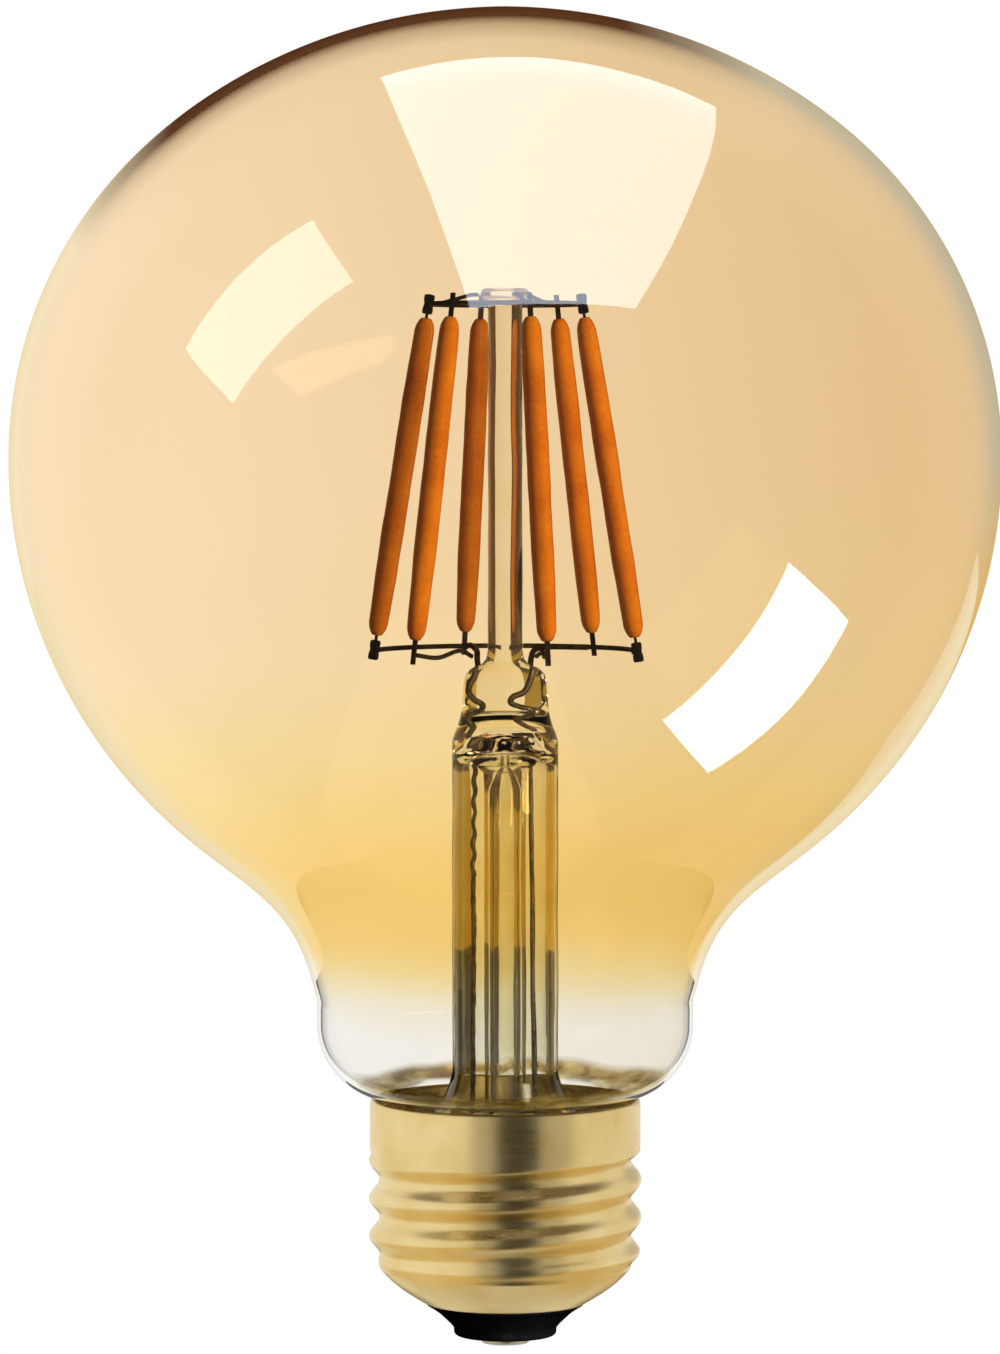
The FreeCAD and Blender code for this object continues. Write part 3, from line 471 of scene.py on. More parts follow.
def phosphor():
    """Orange phosphor silicone: speckled, with the chips showing as faint bands inside."""
    n = Nodes("orange_phosphor")
    split = n.add("ShaderNodeSeparateXYZ")
    n.link(n.place, split.inputs["Vector"])
    chips = n.math("SINE", n.math("MULTIPLY", split.outputs["Z"], 2 * math.pi / 0.001), 0.0)
    speckle = n.noise(2600, 5)
    blend = n.math("ADD", n.math("MULTIPLY", n.noise(260, 3), 0.6),
                   n.math("ADD", n.math("MULTIPLY", speckle, 0.4), n.math("MULTIPLY", chips, 0.012)))
    colour = n.ramp(blend, [
        (0.34, (0.66, 0.18, 0.004)), (0.5, (0.80, 0.25, 0.006)), (0.66, (0.90, 0.32, 0.010)),
    ])
    surface = n.add("ShaderNodeBsdfPrincipled")
    n.feed(
        surface,
        Base_Color=colour,
        Roughness=n.range(speckle, 0.3, 0.7, 0.3, 0.45),
        Coat_Weight=1.0,
        Coat_Roughness=0.12,
        Normal=n.bump(speckle, 0.12, 0.00003),
    )
    through = n.add("ShaderNodeBsdfTranslucent")
    n.feed(through, Color=n.ramp(blend, [(0.34, (0.8, 0.28, 0.01)), (0.66, (0.98, 0.46, 0.04))]))
    return n.finish(n.mix(0.16, surface, through))


def rolled_brass():
    """Pale polished brass with spun rings, small dents and patches of deeper colour."""
    n = Nodes("rolled_brass")
    split = n.add("ShaderNodeSeparateXYZ")
    n.link(n.place, split.inputs["Vector"])
    spun = n.noise(260, 4, (1, 1, 22))
    patches = n.noise(170, 5)
    fine = n.noise(2400, 4)
    shader = n.add("ShaderNodeBsdfPrincipled")
    n.feed(
        shader,
        Base_Color=n.ramp(patches, [
            (0.3, (0.73, 0.53, 0.21)), (0.5, (0.81, 0.62, 0.27)), (0.72, (0.87, 0.71, 0.37)),
        ]),
        Metallic=1.0,
        Roughness=n.range(n.math("ADD", n.math("MULTIPLY", spun, 0.6), n.math("MULTIPLY", patches, 0.4)),
                          0.3, 0.7, 0.24, 0.38),
        Normal=n.bump(
            n.math("ADD", n.math("MULTIPLY", spun, 0.6), n.math("MULTIPLY", fine, 0.4)), 0.18, 0.00004,
        ),
    )
    return n.finish(shader)


def black_glass():
    """Glossy black glass with a faint flow and dust specks."""
    n = Nodes("black_vitrite")
    flow = n.noise(300, 3, (1, 1, 3))
    dust = n.noise(5200, 3)
    shader = n.add("ShaderNodeBsdfPrincipled")
    n.feed(
        shader,
        Base_Color=n.ramp(dust, [(0.6, (0.008, 0.008, 0.010)), (0.78, (0.05, 0.048, 0.05))]),
        Roughness=n.range(flow, 0.3, 0.7, 0.05, 0.13),
        Coat_Weight=0.5,
        Coat_Roughness=0.03,
        Normal=n.bump(flow, 0.25, 0.0001),
    )
    return n.finish(shader)


MATERIALS = {
    "amber_glass": amber_lacquer("amber_lacquered_glass", 1.0, 0.08),
    "stem_glass": clear_glass("drawn_stem_glass", (0.95, 0.93, 0.84), 0.3),
    "strip_glass": clear_glass("strip_glass", (0.9, 0.92, 0.9), 0.1),
    "phosphor": phosphor(),
    "cap_brass": rolled_brass(),
    "black_glass": black_glass(),
    "led_chip": plain_finish("chip", (0.55, 0.48, 0.2), (0.8, 0.74, 0.4), (0.3, 0.5)),
    "nickel_wire": plain_finish("drawn_wire", (0.05, 0.04, 0.03), (0.20, 0.165, 0.13), (0.28, 0.5), 0.9,
                                1400, 0.3),
    "tab_steel": plain_finish("oxidised_tab", (0.06, 0.045, 0.03), (0.20, 0.16, 0.12), (0.3, 0.55), 0.9,
                              1500, 0.3),
    "dark_crimp": plain_finish("dark_crimp", (0.012, 0.010, 0.009), (0.06, 0.05, 0.045), (0.35, 0.6), 0.7,
                               1500, 0.5, 0.0001),
    "contact_brass": plain_finish("tinned_contact", (0.50, 0.47, 0.42), (0.72, 0.70, 0.66), (0.25, 0.42),
                                  0.9, 900, 0.3),
    "cement": plain_finish("basing_cement", (0.48, 0.33, 0.10), (0.92, 0.74, 0.38), (0.8, 0.95), 0.0, 1600,
                           0.8, 0.0002),
    "solder": plain_finish("solder", (0.45, 0.45, 0.44), (0.72, 0.72, 0.70), (0.25, 0.45), 0.9, 700, 0.4,
                           0.0001),
    "board": plain_finish("solder_mask", (0.02, 0.13, 0.06), (0.05, 0.24, 0.12), (0.3, 0.45), 0.0, 1200, 0.3),
    "black_package": plain_finish("moulded_package", (0.015, 0.015, 0.018), (0.05, 0.05, 0.055), (0.5, 0.7),
                                  0.0, 2500, 0.4),
    "capacitor_sleeve": plain_finish("shrink_sleeve", (0.03, 0.04, 0.09), (0.07, 0.09, 0.17), (0.2, 0.35),
                                     0.0, 600, 0.2, coat=0.3),
    "ferrite": plain_finish("ferrite", (0.05, 0.05, 0.05), (0.13, 0.13, 0.13), (0.6, 0.8), 0.0, 2500, 0.5),
    "resistor_coat": plain_finish("resistor_coat", (0.16, 0.32, 0.2), (0.3, 0.5, 0.34), (0.35, 0.5), 0.0,
                                  1500, 0.3),
    "shield_tin": plain_finish("tinned_sheet", (0.6, 0.61, 0.62), (0.8, 0.81, 0.82), (0.2, 0.35), 1.0, 500,
                               0.2),
    "wire_red": plain_finish("red_insulation", (0.4, 0.03, 0.025), (0.6, 0.06, 0.05), (0.3, 0.45), 0.0, 900,
                             0.2),
    "wire_black": plain_finish("black_insulation", (0.015, 0.015, 0.015), (0.05, 0.05, 0.05), (0.3, 0.45),
                               0.0, 900, 0.2),
}


def place(piece, slot, *replaced):
    """Rides a new piece on the one body, in its slot's finish, for the CAD nodes it stands for."""
    piece.data.materials.clear()
    piece.data.materials.append(MATERIALS[slot])
    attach(piece, "root")
    if replaced:
        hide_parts(*replaced)
    return piece


# --- blown globe ---------------------------------------------------------------------------


def globe_line():
    """The outside of the globe from the crown to its skirt inside the cap."""
    side = min(GLOBE, CROWN_RISE) - CROWN_FLATNESS
    shift = GLOBE - side
    crown = (shift ** 2 + CROWN_RISE ** 2 - side ** 2) / (2 * (CROWN_RISE - side))
    along = crown / (crown - side)
    meet = (shift * along, CROWN - crown + (crown - CROWN_RISE) * along)
    sine = (NECK + SHOULDER) / (GLOBE + SHOULDER)
    drop = math.sqrt(1 - sine ** 2)
    waist = (GLOBE * sine, WIDEST - GLOBE * drop)
    neck_level = WIDEST - (GLOBE + SHOULDER) * drop
    line = arc((0, CROWN), meet, crown, -1, 40)
    line += arc(meet, (GLOBE, WIDEST), side, -1, 40)[1:]
    line += arc((GLOBE, WIDEST), waist, GLOBE, -1, 50)[1:]
    line += arc(waist, (NECK, neck_level), SHOULDER, 1, 24)[1:]
    line = even(line, 0.7)
    # even out the change of curvature where the arcs meet, as blown glass has it
    for _ in range(60):
        line = [line[0]] + [
            (b[0] * 0.5 + (a[0] + c[0]) * 0.25, b[1] * 0.5 + (a[1] + c[1]) * 0.25)
            for a, b, c in zip(line, line[1:], line[2:])
        ] + [line[-1]]
    widest = max(point[0] for point in line)
    line = [(point[0] * GLOBE / widest, point[1]) for point in line]
    round_level = neck_level - NECK_STRAIGHT
    foot = (SKIRT, round_level - math.sqrt(NECK_ROUND ** 2 - (SKIRT - NECK + NECK_ROUND) ** 2))
    line = line[:-1] + arc((NECK, neck_level), (NECK, round_level), 500, -1, 4)
    line += arc((NECK, round_level), foot, NECK_ROUND, -1, 24)[1:]
    line += [(SKIRT, foot[1] - 0.3), (SKIRT, (foot[1] + SEAL) / 2), (SKIRT, SEAL)]
    return line


def wall(line, thickness):
    """A closed wall inside a line: the line, and the same line moved inwards."""
    inner = []
    for i, (across, up) in enumerate(line):
        a, b = line[max(i - 1, 0)], line[min(i + 1, len(line) - 1)]
        length = math.dist(a, b)
        inwards = (b[1] - a[1]) / length * thickness
        inner.append((max(across + inwards, 0), up - (b[0] - a[0]) / length * thickness))
    inner[0] = (0, line[0][1] - thickness)
    return line, inner


GLOBE_STEPS = 256
outer, inner = wall(globe_line(), GLASS_WALL)
globe_rings = [ring(r, z, GLOBE_STEPS) for r, z in outer + inner[::-1]]
globe = skin("globe_glass", globe_rings)
bm = bmesh.new()
bm.from_mesh(globe.data)
bmesh.ops.holes_fill(bm, edges=[edge for edge in bm.edges if edge.is_boundary], sides=0)
bm.to_mesh(globe.data)
bm.free()
place(globe, "amber_glass", "globe_envelope")
# the inner face of the wall mirrors less
globe.data.materials.append(amber_lacquer("amber_glass_inside", 0.05, 0.03))
for polygon in globe.data.polygons:
    middle = polygon.center
    away = Vector((middle.x, middle.y, max(middle.z - WIDEST * MM, 0)))
    if polygon.normal.dot(away) < 0:
        polygon.material_index = 1

# --- glass stem ----------------------------------------------------------------------------

FOOT_HEIGHT = 7.0
STEM_STEPS = 96
flare_foot = SKIRT - GLASS_WALL - 0.04
spread = flare_foot - TUBE
sweep = (spread ** 2 + FOOT_HEIGHT ** 2) / (2 * spread)
flare = arc((flare_foot, SEAL + TUBE_WALL), (TUBE, SEAL + FOOT_HEIGHT), sweep, -1, 16)
outside = [(r, z, r) for r, z in flare]
outside += [(TUBE, z, TUBE) for z in (30, 34, 38, 42, 46, 50, 53, 55, 56.5)]
pinch = PINCH_TOP - PINCH_FOOT
# half width, level and half depth of the pinch, which is pressed flat from front to back
outside += [
    (TUBE, PINCH_FOOT, TUBE * 0.97),
    (4.9, PINCH_FOOT + pinch * 0.10, 4.4),
    (4.6, PINCH_FOOT + pinch * 0.20, 3.5),
    (4.35, PINCH_FOOT + pinch * 0.32, 2.7),
    (4.2, PINCH_FOOT + pinch * 0.45, 2.35),
    (4.12, PINCH_FOOT + pinch * 0.62, 2.25),
    (4.05, PINCH_FOOT + pinch * 0.78, 2.15),
    (3.75, PINCH_FOOT + pinch * 0.90, 2.0),
    (3.1, PINCH_FOOT + pinch * 0.965, 1.85),
    (2.3, PINCH_FOOT + pinch * 1.0, 1.75),
    (1.85, PINCH_TOP + 0.5, ROD),
    (ROD, PINCH_TOP + 1.3, ROD),
]
outside += [(ROD, z, ROD) for z in (70, 75, 80, 85, 90, 95, 98)]
outside += [(ROD, ROD_TOP - 0.3, ROD), (ROD * 0.9, ROD_TOP - 0.06, ROD * 0.9), (0, ROD_TOP - 0.03, 0)]
bore = TUBE - TUBE_WALL
hollow = [
    (0, PINCH_FOOT + 0.2, 0),
    (bore * 0.5, PINCH_FOOT - 0.1, bore * 0.5),
    (bore * 0.85, PINCH_FOOT - 1.0, bore * 0.85),
]
hollow += [(bore, z, bore) for z in (56, 53, 50, 46, 42, 38, 34, 30)]
flare = arc((bore, SEAL + FOOT_HEIGHT), (flare_foot - TUBE_WALL, SEAL), sweep, 1, 16)
hollow += [(r, z, r) for r, z in flare]
hollow += [(flare_foot, SEAL, flare_foot)]


def shaped(rows, gap):
    """Elliptical rings along a line of (half width, level, half depth), at even gaps."""
    return [ring(r, z, STEM_STEPS, depth, 0.07, 3.0) for r, z, depth in even(rows, gap)]


stem = skin("stem_glass_body", shaped(outside[:-1], 0.5) + [[(0, 0, ROD_TOP - 0.03)]])
inside = skin("stem_hollow", [[(0, 0, PINCH_FOOT + 0.2)]] + shaped(hollow[1:], 0.5))
stem = join("stem_glass", [stem, inside])
bm = bmesh.new()
bm.from_mesh(stem.data)
rims = [edge for edge in bm.edges if edge.is_boundary]
bmesh.ops.bridge_loops(bm, edges=rims)
bmesh.ops.recalc_face_normals(bm, faces=bm.faces)
bm.to_mesh(stem.data)
bm.free()
place(stem, "stem_glass", "stem_flare_tube", "stem_pinch", "support_rod")

button_mid = (ROD_TOP + BUTTON_TOP) / 2
half = (BUTTON_TOP - ROD_TOP) / 2
button = lathe("glass_button", [(0, ROD_TOP)] + [
    (BUTTON - half + half * math.cos(math.radians(a)), button_mid + half * math.sin(math.radians(a)))
    for a in range(-90, 91, 12)
] + [(0, BUTTON_TOP)], 96, closed=False, wave=0.08)
place(button, "stem_glass", "rod_button")

exhaust_bore = EXHAUST - EXHAUST_WALL * 1.5
tube = [(0, EXHAUST_TIP)] + arc((0.4, EXHAUST_TIP + 0.05), (EXHAUST, EXHAUST_TIP + EXHAUST), 2.4, 1, 8)
tube += [(EXHAUST, z) for z in (22, 26, 30, 36, 42, 48, 53)]
# the tube widens where it melts into the pinch
tube += [
    (EXHAUST * 1.05, PINCH_FOOT - 3.0),
    (EXHAUST * 1.35, PINCH_FOOT - 1.9),
    (EXHAUST * 1.6, PINCH_FOOT - 1.2),
    (EXHAUST * 1.2, PINCH_FOOT - 0.75),
    (0.3, PINCH_FOOT - 0.6),
    (0.3, PINCH_FOOT - 1.6),
    (exhaust_bore, PINCH_FOOT - 4.5),
]
tube += [(exhaust_bore, z) for z in (50, 46, 42, 36, 30, 26, 22)]
tube += [
    (exhaust_bore, EXHAUST_TIP + EXHAUST),
    (exhaust_bore * 0.6, EXHAUST_TIP + 1.0),
    (0, EXHAUST_TIP + EXHAUST_WALL),
]
exhaust = lathe("exhaust_glass", tube, 64, closed=False, wave=0.05, seed=9.0)
place(exhaust, "stem_glass", "exhaust_tube")

# --- filaments -----------------------------------------------------------------------------


def filament_matrix(number):
    """From a filament's own frame, with its foot at the origin, to its place on the cage."""
    angle = math.radians(FIRST_ANGLE + FILAMENT_TURN * (number - 1))
    foot = Vector((math.cos(angle) * CAGE_FOOT_RADIUS, math.sin(angle) * CAGE_FOOT_RADIUS, CAGE_FOOT))
    return Matrix.Translation(foot) @ Matrix.Rotation(angle, 4, "Z") @ Matrix.Rotation(-CAGE_LEAN, 4, "Y")


def make_filament(number):
    """A moulded silicone sleeve, a little uneven, that slims towards its rounded ends."""
    top = FILAMENT_LENGTH
    nose = arc((SLEEVE_END, 0.08), (SLEEVE, SLEEVE_NOSE), 1.9, 1, 10)
    straight_rows = int((top - 2 * SLEEVE_NOSE) / SLEEVE_STEP)
    rows = [(0.0, 0.0), (SLEEVE_END * 0.7, 0.02)] + nose
    rows += [(SLEEVE, SLEEVE_NOSE + SLEEVE_STEP * i) for i in range(1, straight_rows)]
    rows += [(r, top - z) for r, z in reversed(nose)]
    rows += [(SLEEVE_END * 0.7, top - 0.02), (0.0, top)]
    matrix = filament_matrix(number)
    rings = []
    for r, z in rows:
        points = [Vector(p) for p in ring(r, z, 32, wave=0.05, seed=number * 7.3)]
        end = min(z, top - z) / SLEEVE_TAPER
        slim = SLEEVE_SLIM + (1 - SLEEVE_SLIM) * math.sin(min(end, 1) * math.pi / 2)
        swell = slim * (0.95 + 0.035 * noise.noise(Vector((number * 3.1, 0, z * 0.45))))
        rings.append([tuple(matrix @ Vector((p.x * swell, p.y * swell, p.z))) for p in points])
    sleeve = skin(f"filament_{number}", rings)
    return place(sleeve, "phosphor", f"filament_sleeve_{number}")


for number in range(1, FILAMENT_COUNT + 1):
    make_filament(number)


def at_angle(radius, degrees, height):
    angle = math.radians(degrees)
    return Vector((radius * math.cos(angle), radius * math.sin(angle), height))


def cage_radius(height):
    return CAGE_FOOT_RADIUS - (height - CAGE_FOOT) * math.tan(CAGE_LEAN)


def make_crimp(name, number, height, width, tall):
    """A folded metal sleeve, pinched at its middle by the crimping tool."""
    matrix = filament_matrix(number)
    centre = at_angle(cage_radius(height), FIRST_ANGLE + FILAMENT_TURN * (number - 1), height)
    matrix = Matrix.Translation(centre) @ matrix.to_3x3().to_4x4()
    rings = []
    shape = [(-1.0, 0.0), (-1.0, 0.62), (-0.97, 0.84), (-0.88, 0.97), (-0.6, 1.0), (-0.3, 0.95),
             (-0.12, 0.84), (0.12, 0.84), (0.3, 0.95), (0.6, 1.0), (0.88, 0.97), (0.97, 0.84),
             (1.0, 0.62), (1.0, 0.0)]
    for up, share in shape:
        if share == 0:
            rings.append([tuple(matrix @ Vector((0, 0, up * tall / 2)))])
            continue
        points = []
        for k in range(28):
            turn = 2 * math.pi * k / 28
            c, s = math.cos(turn), math.sin(turn)
            x = math.copysign(abs(c) ** 0.45, c) * width / 2 * share
            y = math.copysign(abs(s) ** 0.45, s) * width / 2 * share
            if k in (6, 7, 8):
                y -= 0.1 * width  # the fold's seam
            points.append(tuple(matrix @ Vector((x, y, up * tall / 2))))
        rings.append(points)
    return skin(name, rings)


CRIMP_WIDTH, CRIMP_HEIGHT = 0.95, 1.9
for name, height, node in (
    ("upper_crimp", TOP_RING_LEVEL, "upper_crimps"),
    ("lower_crimp", BUS_LEVEL, "lower_crimps"),
):
    pair = [
        make_crimp(f"{name}_{number}", number, height, CRIMP_WIDTH, CRIMP_HEIGHT)
        for number in OUTER_FILAMENTS
    ]
    place(join(name + "_pair", pair), "dark_crimp", node)

# --- leads ---------------------------------------------------------------------------------

BUS_BACK_RADIUS = 12.1  # where the inner leads meet the bus wires behind the cage
TAB_FRONT_RADIUS = 12.6  # where the branch wires meet the front filaments' tabs
CURLED = LEAD * 1.3
TWISTED = LEAD * 1.1
TWIST_STEPS = 24
TWIST_GAP = 0.55
TWIST_THROW = 0.11
TWIST_TURN = 1.7  # radians from one point of the twist to the next

back_left = at_angle(BUS_BACK_RADIUS, FIRST_ANGLE - FILAMENT_TURN, BUS_LEVEL)
back_right = at_angle(BUS_BACK_RADIUS, FIRST_ANGLE - 2 * FILAMENT_TURN, BUS_LEVEL)
front_left = at_angle(TAB_FRONT_RADIUS, FIRST_ANGLE + FILAMENT_TURN, BUS_LEVEL)
front_right = at_angle(TAB_FRONT_RADIUS, FIRST_ANGLE + 2 * FILAMENT_TURN, BUS_LEVEL)

left_inner = [
    back_left, (-3.3, 8.0, BUS_LEVEL + 0.2), (-2.75, 3.0, BUS_LEVEL - 0.1), (-2.7, 0.6, BUS_LEVEL - 0.7),
    (-2.6, 0.1, 64.6), (-3.0, 0.1, 63.8), (-3.2, -0.1, 62.9), (-2.7, -0.3, 62.2), (-2.0, -0.2, 61.7),
    (-2.1, 0.2, 61.0), (-2.9, 0.3, 60.6), (-3.1, 0.0, 59.8), (-2.6, -0.1, 59.0), (-2.75, 0, 58.0),
]
place(wire("lead_left_inner", left_inner, CURLED), "nickel_wire", "inner_lead_left")
right_inner = [
    back_right, (4.2, 7.5, BUS_LEVEL + 0.1), (2.9, 3.0, BUS_LEVEL), (2.5, 0.7, BUS_LEVEL - 0.7),
    (2.3, 0.1, 64.4), (1.7, -0.2, 63.0), (0.7, -0.5, 62.5), (0.5, -0.5, 61.9), (1.2, -0.3, 61.5),
    (2.1, 0.0, 61.2), (2.3, 0.2, 60.6), (1.5, 0.3, 60.1), (0.9, 0.1, 59.8), (1.4, -0.1, 59.2),
    (2.3, 0, 58.4),
]
place(wire("lead_right_inner", right_inner, CURLED), "nickel_wire", "inner_lead_right")
for name, points, node in (
    ("branch_left", [
        (-3.2, -0.1, BUS_LEVEL - 0.5), (-4.4, -1.6, BUS_LEVEL + 0.1), (-6.4, -5.5, BUS_LEVEL - 0.4),
        front_left,
    ], "branch_wire_left"),
    ("branch_right", [
        (3.0, -0.1, BUS_LEVEL - 0.5), (3.6, -1.8, BUS_LEVEL), (3.7, -6.0, BUS_LEVEL - 0.3), front_right,
    ], "branch_wire_right"),
):
    place(wire(name, points, LEAD), "nickel_wire", node)

twist = []
for i in range(TWIST_STEPS):
    across = -2.85 - i * 0.012 + TWIST_THROW * math.cos(i * TWIST_TURN)
    twist.append((across, TWIST_THROW * math.sin(i * TWIST_TURN), 57.5 - i * TWIST_GAP))
twist += [(-3.05, 0, 40), (-3.1, 0, 32), (-3.2, 0.05, 24), (-3.15, 0, 19), (-3.1, 0, BOARD_TOP + 0.05)]
place(wire("lead_left_outer", twist, TWISTED, wobble=0.3), "nickel_wire", "outer_lead_left")
right_outer = [(2.35, 0, 58.0), (2.45, 0.05, 52), (2.6, 0, 44), (2.65, 0.05, 36), (2.8, 0, 28), (2.95, 0, 20),
               (3.1, 0, BOARD_TOP + 0.05)]
place(wire("lead_right_outer", right_outer, TWISTED), "nickel_wire", "outer_lead_right")

# --- screw cap -----------------------------------------------------------------------------

CREST = reach("screw_shell")
THREAD_DEPTH = 1.0
PITCH = 3.629
PHASE = 1.4
RUNOUT = 1.8
TOP_RUNOUT = 0.9
COLLAR = CREST - 0.1
LIP = level("screw_shell", False)
LIP_RADIUS = 7.8
TAPER = 3.4
TAPER_BULGE = 0.10
ROLL_HEIGHT = 0.5
ROLL_DEPTH = 0.16
COLLAR_HEIGHT = 4.8
SHELL_WALL = 0.3
CAP_STEPS = 256
CAP_ROWS = 150
thread_bottom = LIP + TAPER
thread_top = RIM - COLLAR_HEIGHT


def smooth_step(value):
    value = min(max(value, 0), 1)
    return value * value * (3 - 2 * value)


def shell_radius(turn, height):
    """The rolled shell: taper, right-hand thread that fades at both ends, and collar."""
    if height < thread_bottom:
        share = (height - LIP) / TAPER
        root = CREST - THREAD_DEPTH
        return LIP_RADIUS + (root - LIP_RADIUS) * (share + TAPER_BULGE * math.sin(math.pi * share))
    phase = 2 * math.pi * (height - PHASE) / PITCH - turn
    waved = (1 + math.cos(phase)) / 2 * smooth_step((height - thread_bottom) / RUNOUT)
    threaded = CREST - THREAD_DEPTH + THREAD_DEPTH * waved
    share = smooth_step((height - thread_top + TOP_RUNOUT) / TOP_RUNOUT)
    radius = threaded * (1 - share) + COLLAR * share
    # the collar's edge is rolled in a little at its rim
    roll = max(0.0, (height - RIM + ROLL_HEIGHT) / ROLL_HEIGHT)
    return radius - ROLL_DEPTH * roll ** 2


def shell_ring(height, inset):
    points = []
    for step in range(CAP_STEPS):
        turn = 2 * math.pi * step / CAP_STEPS
        radius = shell_radius(turn, height) - inset
        points.append((radius * math.cos(turn), radius * math.sin(turn), height))
    return points


heights = [LIP + (RIM - LIP) * i / CAP_ROWS for i in range(CAP_ROWS + 1)]
shell = skin(
    "cap_shell",
    [shell_ring(z, 0) for z in heights] + [shell_ring(z, SHELL_WALL) for z in reversed(heights)],
    closed=True,
)
place(shell, "cap_brass", "screw_shell")

FLANGE = level("insulator", False)
PLUG_TOP = level("insulator", True)
INSULATOR_TIP = 4.95
HOLE = 1.45
insulator_line = [(HOLE, FLANGE)] + [(r, FLANGE) for r in (2.4, 3.6, 4.6)]
insulator_line += arc((4.6, FLANGE), (INSULATOR_TIP, FLANGE + 0.35), 0.36, 1, 6)[1:]
insulator_line += [(INSULATOR_TIP + 0.02, FLANGE + 0.75), (5.3, FLANGE + 1.15), (6.4, FLANGE + 2.2),
                   (7.2, FLANGE + 2.75)]
insulator_line += arc((7.35, FLANGE + 2.85), (7.7, FLANGE + 3.2), 0.5, 1, 5)
insulator_line += [(7.4, FLANGE + 3.5), (7.4, PLUG_TOP - 0.2), (7.2, PLUG_TOP), (HOLE, PLUG_TOP)]
place(lathe("cap_insulator", insulator_line, 160), "black_glass", "insulator")

contact_line = [(0.8, 0.06), (1.2, 0.02), (1.9, 0.0), (2.2, 0.04), (2.36, 0.18), (2.4, 0.4), (2.38, 0.62),
                (2.3, 0.78), (1.4, 0.8), (1.4, 6.2), (0.8, 6.2)]
place(lathe("centre_contact_cup", contact_line, 96), "contact_brass", "centre_contact")

# --- finishes of the CAD nodes that stay ---------------------------------------------------

for part in frame["record"]["subparts"]:
    node = frame["nodes"][part["node"]]
    for slot in node.material_slots:
        slot.material = MATERIALS[part["material_slot"]]

# --- stage, lights, camera -----------------------------------------------------------------

GLOBE_CENTRE = Vector((0, 0, WIDEST * MM))


def only_for(name, emitter, things):
    """Makes an emitter light these things and no others."""
    group = bpy.data.collections.new(name)
    for thing in things:
        group.objects.link(thing)
    emitter.light_linking.receiver_collection = group


def card(name, strips, colour, strength, glossy=True, through=False, fade=None, around=None):
    """A studio card that only shows in reflections, or in what is seen through thick glass.
    strips are rows of points, joined into faces. fade gives the distances from the globe's
    centre, seen along Y, between which the card darkens, and around gives its colours by the
    angle about that centre, from -180 to 180 degrees, where 0 is to the right and 90 is up."""
    mesh = bpy.data.meshes.new(name)
    points = [tuple(point) for row in strips for point in row]
    width = len(strips[0])
    faces = [
        (row * width + i, row * width + i + 1, (row + 1) * width + i + 1, (row + 1) * width + i)
        for row in range(len(strips) - 1)
        for i in range(width - 1)
    ]
    mesh.from_pydata(points, [], faces)
    thing = bpy.data.objects.new(name, mesh)
    scene.collection.objects.link(thing)
    glow = Nodes(name)
    light = glow.add("ShaderNodeEmission")
    glow.feed(light, Color=(*colour, 1), Strength=strength)
    if fade:
        flat = glow.add("ShaderNodeVectorMath", operation="MULTIPLY_ADD")
        glow.link(glow.place, flat.inputs[0])
        flat.inputs[1].default_value = (1, 0, 1)
        flat.inputs[2].default_value = (0, 0, -GLOBE_CENTRE.z)
        far = glow.add("ShaderNodeVectorMath", operation="LENGTH")
        glow.link(flat.outputs["Vector"], far.inputs[0])
        glow.feed(light, Strength=glow.range(far.outputs["Value"], fade[0], fade[1], strength, 0.05))
    if around:
        split = glow.add("ShaderNodeSeparateXYZ")
        glow.link(flat.outputs["Vector"], split.inputs["Vector"])
        angle = glow.math("ARCTAN2", split.outputs["Z"], split.outputs["X"])
        stops = [((degrees + 180) / 360, shade) for degrees, shade in around]
        glow.feed(light, Color=glow.ramp(glow.range(angle, -math.pi, math.pi), stops))
    mesh.materials.append(glow.finish(light))
    thing.visible_camera = False
    thing.visible_shadow = False
    thing.visible_diffuse = False
    thing.visible_glossy = glossy
    thing.visible_transmission = through
    thing.visible_volume_scatter = False
    thing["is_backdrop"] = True
    return thing


def bent_card(name, start, end, radius, low, high, colour, strength, **rays):
    """An upright card bent round the axis, azimuths in degrees from the camera towards the right."""
    steps = 24
    azimuths = [math.radians(start + (end - start) * i / steps) for i in range(steps + 1)]
    rows = [[(radius * math.sin(a), -radius * math.cos(a), z) for a in azimuths] for z in (low, high)]
    return card(name, rows, colour, strength, **rays)


# the level softbox over the globe
top = GLOBE_CENTRE.z + 0.5
softbox = card("softbox_top", [
    [(-0.138, 0.31, top), (0.25, 0.34, top)],
    [(-0.10, -0.62, top), (0.37, -0.54, top)],
], (0.78, 0.84, 1.02), 7.5)
only_for("lit_by_top", softbox, [globe])
# the softbox on the left, facing the globe
left_rays = [Vector((-0.90, -0.15, 0.36)), Vector((-0.54, -0.19, 0.79)), Vector((-0.86, -0.45, 0.21)),
             Vector((-0.49, -0.53, 0.67))]
facing = sum(left_rays, Vector()).normalized()
left_corners = [GLOBE_CENTRE + ray * 0.55 / ray.dot(facing) for ray in left_rays]
softbox = card("softbox_left", [left_corners[:2], left_corners[2:]], (0.98, 0.98, 1.0), 5.5)
only_for("lit_by_left", softbox, [globe, bpy.data.objects["cap_insulator"]])
# a bright reflector that lies low on the right
low = 0.0375
reflector = card("reflector_right", [
    [(0.029, -0.048, low), (0.134, -0.077, low)],
    [(0.031, -0.032, low), (0.102, -0.025, low)],
], (1, 1, 1), 18.0)
only_for("lit_by_reflector", reflector, [globe])
